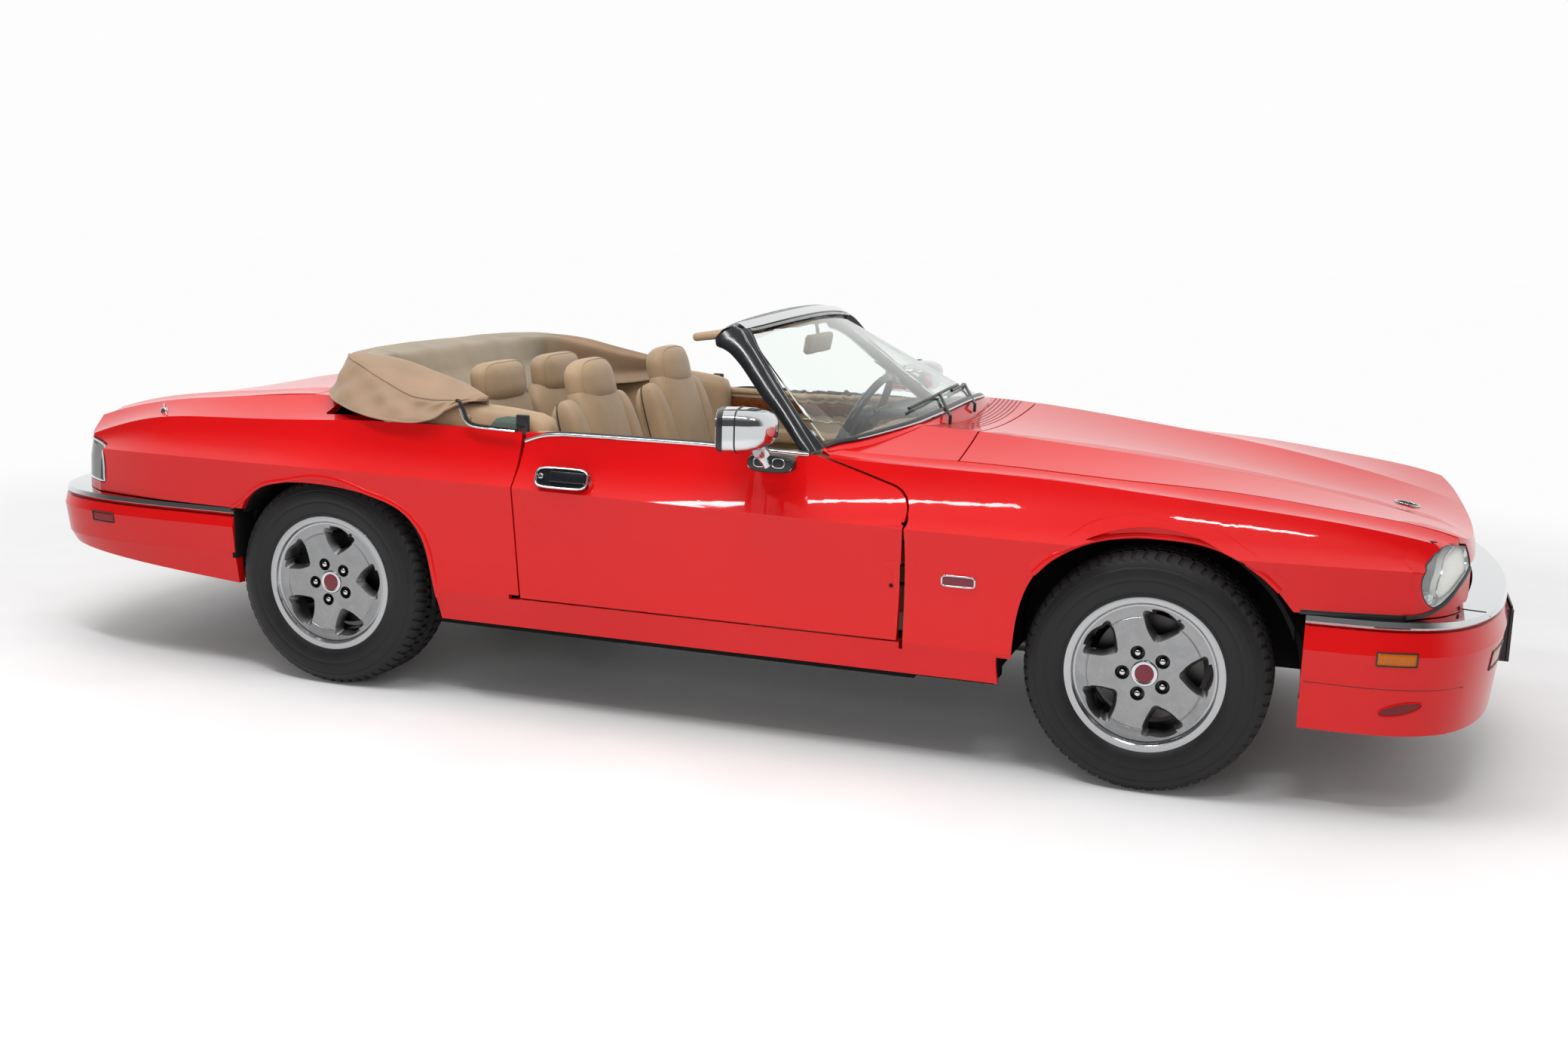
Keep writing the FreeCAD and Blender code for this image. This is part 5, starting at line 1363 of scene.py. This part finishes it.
def lamp_edge(tree, side, middle, angle):
    """How far the lamp reaches from its middle in one direction."""
    low, high = 0.0, 0.26
    for _ in range(14):
        reach = (low + high) / 2
        if lamp_point(tree, side, *polar(middle, reach, angle)) is None:
            high = reach
        else:
            low = reach
    return low


def rings_of(tree, side, middle, steps, edges):
    """Rings inside an edge, one for each part of its reach, each at a depth below the surface."""
    _, axis, _ = lamp_frame(side)
    rings = []
    for part, depth in steps:
        spots = [polar(middle, edge * part, angle) for edge, angle in zip(edges, turns(LAMP_COUNT))]
        rings.append([lamp_point(tree, side, u, v) - axis * depth for u, v in spots])
    return rings


# Outlines of the lamp and of its lens, in millimetres across and up from the lamp's centre.
LAMP_OUTLINE = (
    (61, -14), (8, -34), (-45, -58), (-75, -74), (-103, -82), (-125, -72), (-139, -52), (-147, -24),
    (-147, -2), (-128, 26), (-100, 45), (-83, 62), (-68, 75), (-11, 82), (39, 92), (140, 92), (140, 10),
)
LENS_OUTLINE = (
    (91, -42), (18, -62), (-32, -74), (-58, -70), (-68, -46), (-63, -19), (-45, 9), (-26, 37), (10, 53),
    (62, 64), (140, 64), (140, -20),
)


def reach_to(outline, middle, angle):
    """How far an outline lies from a point inside it, in one direction."""
    ahead = Vector((math.cos(angle), math.sin(angle)))
    found = []
    for i, start in enumerate(outline):
        a = Vector(start) * MM - Vector(middle)
        b = Vector(outline[(i + 1) % len(outline)]) * MM - Vector(middle)
        low, high = ahead.x * a.y - ahead.y * a.x, ahead.x * b.y - ahead.y * b.x
        if low * high <= 0 and low != high:
            place = a + (b - a) * (low / (low - high))
            if place.dot(ahead) > 0:
                found.append(place.dot(ahead))
    return min(found) if found else 0.3


def headlamp(side_name, side):
    tree = tree_of("front_lamps")
    centre, axis, across = lamp_frame(side)
    middle = (-0.028, -0.006)
    angles = turns(LAMP_COUNT)
    packed = [lamp_edge(tree, side, middle, angle) - 0.0006 for angle in angles]
    edges = [min(edge, reach_to(LAMP_OUTLINE, middle, angle)) for edge, angle in zip(packed, angles)]
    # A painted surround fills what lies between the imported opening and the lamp's outline.
    around = tree_of("front_lamps front_wings")
    rim_steps = [(1.0, 0.0), (1.0, 0.006)]
    outer = rings_of(tree, side, middle, rim_steps, packed)
    for k, angle in enumerate(angles):
        u, v = polar(middle, packed[k] + 0.006, angle)
        beyond = cast(around, centre + across * u + Vector((0, 0, v)) + axis * 0.4, -axis, 0.9)[0]
        if beyond is not None and (beyond - outer[0][k]).length < 0.02:
            outer[0][k] = beyond + axis * 0.0006
    inner = rings_of(tree, side, middle, rim_steps, edges)
    loft("lamp_surround_" + side_name, [outer[0], inner[0], inner[1], outer[1]], RED, joined_ends=True)
    gasket_steps = [(1.0, 0.004), (1.0, 0.0), (0.985, -0.0010), (0.972, 0.0), (0.968, 0.006)]
    loft("lamp_gasket_" + side_name, rings_of(tree, side, middle, gasket_steps, edges), BLACK, caps=False)
    bowl_steps = [
        (0.972, 0.003), (0.950, 0.006), (0.925, 0.018), (0.905, 0.036), (0.860, 0.052), (0.74, 0.062),
        (0.4, 0.066), (0.04, 0.067),
    ]
    cover_steps = [(0.980, 0.002)] + [(part, 0.0015) for part in (0.90, 0.7, 0.45, 0.2, 0.02)]
    for name, steps, finish, thickness, degrees in (
        ("lamp_bowl_", bowl_steps, CHROME, 0.0015, 60),
        ("lamp_cover_", cover_steps, CLEAR, 0.002, 80),
    ):
        skin = rings_of(tree, side, middle, steps, edges)
        made = loft(name + side_name, skin, finish, caps=False, degrees=degrees)
        thickened(made, thickness)
    heart = (0.010, -0.010)
    rims = []
    for angle in angles:
        limit = min(lamp_edge(tree, side, heart, angle), reach_to(LAMP_OUTLINE, heart, angle)) * 0.93
        rims.append(min(limit, reach_to(LENS_OUTLINE, heart, angle)))
    lens_steps = [
        (1.0, 0.040), (1.0, 0.021), (0.97, 0.015), (0.85, 0.011), (0.6, 0.008), (0.3, 0.007),
        (0.05, 0.007),
    ]
    rows = rings_of(tree, side, heart, lens_steps, rims)
    loft("lamp_lens_" + side_name, rows, LENS_PAINTED_BRIGHT, degrees=60)
    bead, name = round_section(0.003, sides=8), "lamp_lens_ring_" + side_name
    sweep(name, rows[1], axis, bead, CHROME, joined_ends=True)
    cup = [
        (0.0, 0.005), (0.006, 0.004), (0.011, 0.001), (0.0135, 0.003), (0.0155, 0.003), (0.016, 0.0),
        (0.016, -0.03),
    ]
    verts, faces = lathe(cup, 28)
    at = lamp_point(tree, side, -0.104, -0.058) - axis * 0.013
    verts = placed_along(verts, at, axis)
    made = piece("lamp_small_" + side_name, verts, faces, CHROME)
    sharp_by_angle(outward(made), 40)


for side_name, side in SIDES:
    headlamp(side_name, side)


# The amber and red lenses in the bumpers, each in a dark surround.
def lens_box(name, finish, limits, hit, away):
    """A lens over a patch of a surface. Limits are in millimetres, and hit finds the surface."""
    across, up = 13, 5
    low, high, z_low, z_high = limits
    grid = []
    for a in range(across):
        along = (low + (high - low) * (a / (across - 1))) * MM
        grid.append([hit(along, (z_low + (z_high - z_low) * (b / (up - 1))) * MM) for b in range(up)])
    first = next(p for column in grid for p in column if p is not None)
    grid = [[first if p is None else p for p in column] for column in grid]
    verts = [p + away * 0.0012 for column in grid for p in column]
    made = outward(piece(name, verts, quads(across, up, False), finish))
    thickened(made, 0.010, -1.0 if made.data.polygons[0].normal.dot(away) > 0 else 1.0)
    border = [column[0] for column in grid] + grid[-1][1:]
    border += [column[-1] for column in reversed(grid[:-1])] + list(reversed(grid[0][1:-1]))
    edge = [p + away * 0.001 for p in border]
    sweep(name + "_frame", edge, away, round_section(0.0022, sides=6), BLACK, joined_ends=True)


front, rear = tree_of("front_lamps"), tree_of("rear_lamps")
for side_name, side in SIDES:
    aside = Vector((0, side, 0))
    on_front, on_rear = (partial(from_side, tree, side, reach=0.4, start=1.05) for tree in (front, rear))
    lens_box("marker_front_" + side_name, LENS_AMBER, (2049.5, 2150.5, 436.5, 472.5), on_front, aside)

    def ahead_of(y, z):
        return cast(front, (2.6, side * y, z), (-1, 0, 0), 0.6)[0]

    lens_box("indicator_" + side_name, LENS_AMBER, (412, 568, 386.5, 438.5), ahead_of, Vector((1, 0, 0)))
    lens_box("marker_rear_" + side_name, LENS_RED, (-2068.5, -1969.5, 461.5, 494.5), on_rear, aside)
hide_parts("front_lamps")


# Tail lamps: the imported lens, with a bright frame laid round its edge.
def tail_frame(side_name, side):
    tree = tree_of("rear_lamps")
    lower = [(x, 591) for x in range(-2046, -2236, -12)]
    upper = [(x, 712 + 13 * min(1.0, (-2052 - x) / 90)) for x in range(-2052, -2236, -12)]
    front = [(-2048 + 3 * math.sin(math.pi * k / 8), 594 + 112 * k / 8) for k in range(1, 8)]

    def on_lamp(x, z):
        inset = 3 if z > 650 else -1
        for push in (0.0, 1.5, 3.0, 5.0, 8.0):
            place = from_side(tree, side, (x - push) * MM, (z - inset) * MM, start=1.05)
            if place is not None:
                return place
        return None

    path = found_at(on_lamp(x, z) for x, z in [*reversed(lower), *front, *upper])
    outs = [Vector((min(0.0, (p.x + 2.08) * 6), side, 0.05)).normalized() for p in path]
    section = [
        (-0.004, -0.003), (-0.004, 0.001), (-0.002, 0.004), (0.002, 0.004), (0.004, 0.001),
        (0.004, -0.003),
    ]
    edge = [p + o * 0.0005 for p, o in zip(path, outs)]
    sweep("tail_frame_" + side_name, edge, outs, section, CHROME)


for side_name, side in SIDES:
    tail_frame(side_name, side)


# A black seal above each bumper blade runs along the wing, then round the nose under the lamp.
SEAL = [
    (-0.006, -0.010), (-0.006, 0.0005), (-0.003, 0.0025), (0.003, 0.0025), (0.006, 0.0005),
    (0.006, -0.010),
]
NOSE_SEAL = [
    (2112, -812, 560), (2142, -792, 562), (2168, -767, 568), (2196, -738, 582), (2217, -709, 598),
    (2237, -670, 623), (2255, -623, 643), (2270, -568, 663),
]
wings = tree_of("front_wings")
for side_name, side in SIDES:
    path = found_at(from_side(wings, side, x * MM, 0.572, 0.5, 1.05) for x in range(1850, 2150, 20))
    path = [p - Vector((0, 0, 0.013)) for p in evened(path)]
    sweep("wing_seal_" + side_name, path, (0, side, 0), SEAL, BLACK)
for side_name, side in SIDES:
    path = mirrored(NOSE_SEAL, side, 4)
    sweep("nose_seal_" + side_name, path, (0.72, side * 0.69, 0.0), half_round(0.0055, 0.0035), BLACK)

# A seam across each end of the front shelf, and the washer beside it.
shelf = tree_of("bumper_blades")
for side_name, side in SIDES:
    seam = found_at(from_above(shelf, 2.232 + 0.098 * (k / 8), side * 0.602, 0.75, 0.4) for k in range(9))
    seam = [p + Vector((0, 0, 0.0004)) for p in seam]
    sweep("shelf_seam_" + side_name, seam, (0, 0, 1), round_section(0.0014, sides=6), BLACK)
    rounded("lamp_washer_" + side_name, (46, 30, 16), 5, (2228, side * 640, 566), BLACK)
    rounded("lamp_washer_jet_" + side_name, (20, 22, 18), 4, (2218, side * 640, 580), BLACK)


# A rolled lip follows the edge of each wheel arch.
ARCH_LIP = half_round(0.0085, 0.0045)


def rear_arch_lip(side_name, side):
    tree = tree_of("rear_quarters")
    centre_x = WHEELS["rear_" + side_name][0]

    def skin(angle, reach):
        x, z = polar((centre_x, TYRE_R), reach, angle)
        return from_side(tree, side, x, z, 0.36)

    path = []
    for degrees in range(0, 150, 4):
        angle = math.radians(degrees)
        low, high = 0.345, 0.47
        if skin(angle, high) is None:
            continue
        for _ in range(12):
            middle = (low + high) / 2
            if skin(angle, middle) is None:
                low = middle
            else:
                high = middle
        path.append(skin(angle, high + 0.007))
    sweep("arch_lip_rear_" + side_name, evened(found_at(path), 3), (0, side * 0.97, 0.24), ARCH_LIP, RED)


# Edge of the front arch, in millimetres ahead of its centre and above the ground.
ARCH_CENTRE_X = 1.4785
ARCH_EDGE = (
    (-326, 595), (-280, 642), (-222, 676), (-156, 696), (-78, 707), (0, 710), (80, 707), (158, 692),
    (211, 674), (266, 646), (312, 605),
)


def front_arch(side_name, side):
    """Carries the wing's skin down to the edge of the arch, with a rolled lip along it."""
    hub = Vector((ARCH_CENTRE_X, 0, TYRE_R))
    edge = spline([Vector((ARCH_CENTRE_X + x * MM, 0, z * MM)) for x, z in ARCH_EDGE], 4)
    away = [(p - hub).normalized() for p in edge]

    def skin(index, reach):
        q = edge[index] + away[index] * reach
        return from_side(wings, side, q.x, q.z, 0.30)

    reaches = []
    for index in range(len(edge)):
        tries = (0.003 * step for step in range(30))
        reaches.append(next((reach for reach in tries if skin(index, reach) is not None), 0.0))
    tops = []
    for index in range(len(edge)):
        near = max(reaches[max(0, index - 2):index + 3])
        tops.append(skin(index, near + 0.030) or skin(index, near + 0.015))
    kept = [index for index, top in enumerate(tops) if top is not None]
    outer = evened([tops[index] + Vector((0, side * 0.0006, 0)) for index in kept], 2)
    lower = [Vector((edge[index].x, top.y, edge[index].z)) for index, top in zip(kept, outer)]
    inside = Vector((0, -side * 0.004, 0))
    rows = [outer, lower, [p + inside * 3 for p in lower], [p + inside for p in outer]]
    loft("arch_skin_" + side_name, [list(section) for section in zip(*rows)], RED, degrees=25)
    path = [p + away[index] * 0.007 for index, p in zip(kept, lower)]
    sweep("arch_lip_front_" + side_name, path, (0, side * 0.97, 0.24), ARCH_LIP, RED)


# Small plates that close the door's front edge over its hinges: foot, top and front edge of each.
HINGE_COVERS = ((508, 594, 769), (696, 717, 768))


def hinge_covers(side_name, side):
    tree = tree_of("door_" + side_name)
    for number, (low, high, front) in enumerate(HINGE_COVERS):
        rows = []
        levels = [(low + (high - low) * k / 8) * MM for k in range(9)]
        for place in found_at(from_side(tree, side, 0.712, z, 0.36) for z in levels):
            out, back = place.y + side * 0.0009, place.y - side * 0.0015
            corners = ((718, out), (front, out), (front, back), (718, back))
            rows.append([Vector((x * MM, y, place.z)) for x, y in corners])
        loft("hinge_cover_%s_%d" % (side_name, number), rows, RED, "door_" + side_name)


for side_name, side in SIDES:
    front_arch(side_name, side)
    hinge_covers(side_name, side)
    rear_arch_lip(side_name, side)


# The front bumper's seam, and the duct low in each of its corners. Both are drawn in the darker copy of
# the body red, as painted shade in the seam's gap and inside the duct.
def bumper_seam(side_name, side):
    steps = [k / 27 for k in range(28)]
    path = found_at(from_side(bumper, side, 1.872 + 0.40 * t, 0.374 - 0.004 * t, 0.75) for t in steps)
    line = round_section(0.0014, sides=6)
    sweep("bumper_seam_" + side_name, evened(path, 2), (0.4, side, 0), line, SLOT_SHADE)


def bumper_duct(side_name, side):
    rows = []
    for scale in (1.0, 0.6, 0.2):
        row = []
        for angle in turns(28):
            across, rise = 0.055 * math.cos(angle) * scale, 0.016 * math.sin(angle) * scale
            place = from_side(bumper, side, 2.118 + across, 0.318 + rise + 0.22 * across)
            row.append(place + Vector((0.0006, side * 0.0010, 0)))
        rows.append(row)
    foot = [p - Vector((0, side * 0.004, 0)) for p in rows[0]]
    loft("duct_" + side_name, [foot, *rows], SLOT_SHADE)
    line = round_section(0.0022, sides=6)
    sweep("duct_rim_" + side_name, rows[0], (0.3, side, -0.3), line, RED, joined_ends=True)


bumper = tree_of("front_bumper")
for side_name, side in SIDES:
    bumper_seam(side_name, side)
    bumper_duct(side_name, side)

# Liners between the rear wheels and the rear bumper, and the front plate's blank black bracket.
for side_name, side in SIDES:
    rounded("wheel_liner_" + side_name, (16, 110, 210), 3, (-1486, side * 806, 492), UNDER_AND_GAP_SHADE)
rounded("plate_bracket", (6, 316, 168), 2, (2421, 0, 403), BLACK)


# The badge on each front wing and the round ornament on the bonnet are left blank.
for side_name, side in SIDES:
    out = Vector((0, side, -0.06)).normalized()
    at = from_side(wings, side, 0.938, 0.553) + out * 0.0015
    edge = half_round(0.0030, 0.0034, 6)
    path, out = frame_ring("wing_badge_frame_" + side_name, at, 0.094, 0.030, edge, "root", out, 6.0)
    plate("wing_badge_" + side_name, path, out, 0.001, ENAMEL, "root")

at, normal = cast(tree_of("bonnet"), (2.114, 0.0, ABOVE), (0, 0, -1))
out = normal if normal.z > 0 else -normal
edge = half_round(0.0020, 0.0028, 6)
path, out = frame_ring("ornament_ring", at + out * 0.0025, 0.072, 0.060, edge, "bonnet", out, 2.0)
plate("ornament_disc", path, out, 0.003, UNDER_AND_GAP_SHADE, "bonnet", 0.0025)

# The aerial's collar and stub on the right rear wing.
AERIAL = [(0.0, 0.026), (0.0035, 0.025), (0.004, 0.012), (0.011, 0.009), (0.014, 0.002), (0.015, -0.004)]
at = from_above(tree_of("rear_quarters"), -1.874, -0.700, reach=2.0)
verts, faces = lathe(AERIAL, 20)
upright = Matrix.Rotation(math.pi / 2, 3, "X")
sharp_by_angle(outward(piece("aerial", [at + upright @ Vector(v) for v in verts], faces, CHROME)), 40)

# Slots of the air intake on the cowl panel, drawn as lines in the darker copy of the body red: painted
# shade inside the slots.
cowl = tree_of("cowl_panel")
for index in range(7):
    path = []
    for k in range(25):
        y = -0.46 + 0.92 * k / 24
        path.append(from_above(cowl, (752 + index * 15) * MM + 0.02 * (1 - (y / 0.46) ** 2) - 0.012, y))
    line = round_section(0.0020, 0.0009, 6)
    sweep("cowl_slot_%d" % index, found_at(path), (0, 0, 1), line, SLOT_SHADE)

# Door cards on the inner side: a walnut strip between dark lines, a bright line, and a rest.
for side_name, side in SIDES:
    body = "door_" + side_name
    level = abs(cast(tree_of("door_card_" + side_name), (0.1, 0.0, 0.80), (0, side, 0), 1.2)[0].y) / MM
    face = side * (level - 3)
    lined = face - side * 1.5
    rounded("door_walnut_" + side_name, (820, 8, 40), 2.5, (20, face, 817), WALNUT, body=body)
    for index, z in enumerate((794.5, 839.5)):
        name = "door_wood_line_%s_%d" % (side_name, index)
        rounded(name, (824, 5, 2.4), 1, (20, lined, z), PIPING, body=body)
    rounded("door_bright_" + side_name, (700, 8, 5), 2, (60, face, 771), CHROME, body=body)
    rounded("door_rest_" + side_name, (640, 44, 60), 18, (20, side * (level - 18), 700), TAN, body=body)
    roll = (10, side * (level + 14), 862)
    rounded("door_top_roll_" + side_name, (852, 40, 24), 11, roll, TAN, body=body)

# Steering wheel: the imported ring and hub, with a padded boss and spokes added.
rake = math.radians(62.0)
column = Vector((-math.sin(rake), 0, math.cos(rake)))
wheel_up = Vector((math.cos(rake), 0, math.sin(rake)))
wheel_centre = Vector((0.285, 0.330, 0.831))


def on_wheel(across, up, out=0.0):
    return wheel_centre + Vector((0, 1, 0)) * across + wheel_up * up + column * out


boss_rows = []
for scale, level in (
    (0.9, -0.030), (1.0, -0.012), (1.0, 0.004), (0.92, 0.013), (0.7, 0.018), (0.35, 0.020),
    (0.05, 0.0205),
):
    wide, high = 0.078 * scale, 0.062 * scale
    boss_rows.append([on_wheel(u * wide, v * high, level) for u, v in power_ring(40, 3.2)])
loft("wheel_boss", boss_rows, BLACK, "steering_wheel", degrees=60)
for index, way in enumerate((-1, 1)):
    start, end = on_wheel(way * 0.05, -0.02), on_wheel(way * 0.17, -0.055)
    path = [start.lerp(end, k / 6) for k in range(7)]
    spoke = round_section(0.015, 0.007, 10)
    sweep("wheel_spoke_%d" % index, path, column, spoke, BLACK, "steering_wheel")

# Instrument hood and the wood face of the dash.
rounded("instrument_hood", (150, 380, 40), 16, (462, 330, 884), BLACK)
rounded("dash_walnut", (8, 560, 90), 3, (394, -380, 790), WALNUT)
rounded("dash_walnut_driver", (8, 400, 70), 3, (394, 330, 795), WALNUT)
rounded("gear_lever_knob", (44, 44, 60), 16, (120, 0, 622), BLACK)
rounded("gear_lever_stalk", (14, 14, 70), 5, (118, 0, 576), CHROME)
rounded("armrest", (300, 168, 60), 22, (-260, 0, 586), TAN)


def eased_range(tree, source, output, start, end, low, high):
    """Carries a value from low to high while another one goes from start to end."""
    made = node(tree, "MapRange", interpolation_type="SMOOTHSTEP")
    for name, value in (("From Min", start), ("From Max", end), ("To Min", low), ("To Max", high)):
        made.inputs[name].default_value = value
    link(tree, source, output, made, "Value")
    return made


# Studio: a pale floor that meets the pale background.
def studio():
    world = bpy.data.worlds.new("studio")
    world.use_nodes = True
    tree = world.node_tree
    sky = tree.nodes["Background"]
    sky.inputs["Strength"].default_value = 1.0
    # A white room, dark on the side from which it was photographed.
    place = node(tree, "TexCoord")
    split = node(tree, "SeparateXYZ")
    link(tree, place, "Generated", split, "Vector")
    sides = eased_range(tree, split, "Y", -0.50, 0.15, 0.10, 1.0)
    above = eased_range(tree, split, "Z", 0.30, 0.95, 0.0, 0.55)
    lit = node(tree, "Math", operation="MAXIMUM")
    link(tree, sides, "Result", lit, 0)
    link(tree, above, "Result", lit, 1)
    seen = node(tree, "LightPath")
    shown = node(tree, "Mix", data_type="FLOAT")
    link(tree, seen, "Is Camera Ray", shown, "Factor")
    link(tree, lit, 0, shown, 2)
    shown.inputs[3].default_value = 0.985
    link(tree, shown, 0, sky, "Color")
    bpy.context.scene.world = world
    reach = 60.0
    finish, tree, shader = material("studio_white")
    corners = [(-reach, -reach, 0), (reach, -reach, 0), (reach, reach, 0), (-reach, reach, 0)]
    floor = added("studio_floor", mesh_of("studio_floor", corners, [(0, 1, 2, 3)], finish))
    output = tree.nodes["Material Output"]
    shader.inputs["Roughness"].default_value = 0.55
    tinted(tree, shader, noise_of(tree, 1.6, 4.0), grey(0.78), grey(0.84))
    place = node(tree, "TexCoord")
    length = node(tree, "VectorMath", operation="LENGTH")
    link(tree, place, "Object", length, 0)
    fade = eased_range(tree, length, "Value", 2.6, 6.0, 0.0, 1.0)
    glow = node(tree, "Emission", Color=(0.98, 0.98, 0.98, 1.0))
    mixed = node(tree, "MixShader")
    link(tree, fade, "Result", mixed, "Fac")
    link(tree, shader, "BSDF", mixed, 1)
    link(tree, glow, "Emission", mixed, 2)
    link(tree, mixed, "Shader", output, "Surface")


def softbox(name, place, aim, wide, deep, power):
    data = bpy.data.lights.new(name, "AREA")
    data.shape = "RECTANGLE"
    data.size = wide
    data.size_y = deep
    data.energy = power
    lamp = added(name, data)
    lamp.location = place
    lamp.rotation_mode = "QUATERNION"
    lamp.rotation_quaternion = (Vector(aim) - Vector(place)).to_track_quat("-Z", "Y")
    return lamp


studio()
# The two broad lights have no mirror image in the paint, the two strips do.
for name, place, aim, wide, deep, power in (
    ("overhead", (0.0, -1.3, 4.8), (0.0, 0.0, 0.6), 7.0, 2.8, 112.0),
    ("fill", (0.6, -6.5, 1.9), (0.0, 0.0, 0.5), 6.0, 2.4, 125.0),
):
    softbox(name, place, aim, wide, deep, power).visible_glossy = False
softbox("strip_shoulder", (-1.0, -2.45, 4.2), (-0.4, -0.9, 0.7), 3.0, 0.22, 70.0)
softbox("strip_front", (2.1, -3.2, 4.2), (1.7, -0.8, 0.7), 1.3, 0.22, 34.0)


# The camera stands where the photograph was taken from.
YAW_PITCH_ROLL = (-0.330208, -0.180752, 0.029464)
EYE = (1.9458, -5.3293, 1.5354)
FOCAL = 38.235


def camera():
    yaw, pitch, roll = YAW_PITCH_ROLL
    ahead = Vector((math.cos(pitch) * math.sin(yaw), math.cos(pitch) * math.cos(yaw), math.sin(pitch)))
    level = Vector((math.cos(yaw), -math.sin(yaw), 0.0))
    upright = level.cross(ahead)
    right = level * math.cos(roll) + upright * math.sin(roll)
    up = -level * math.sin(roll) + upright * math.cos(roll)
    data = bpy.data.cameras.new("view")
    data.sensor_width = 36.0
    data.lens = FOCAL
    data.clip_start = 0.05
    data.clip_end = 300.0
    made = added("view", data)
    turned = Matrix((right, up, -ahead)).transposed().to_4x4()
    made.matrix_world = Matrix.Translation(EYE) @ turned
    bpy.context.scene.camera = made


camera()
bpy.context.scene.view_settings.view_transform = "Standard"
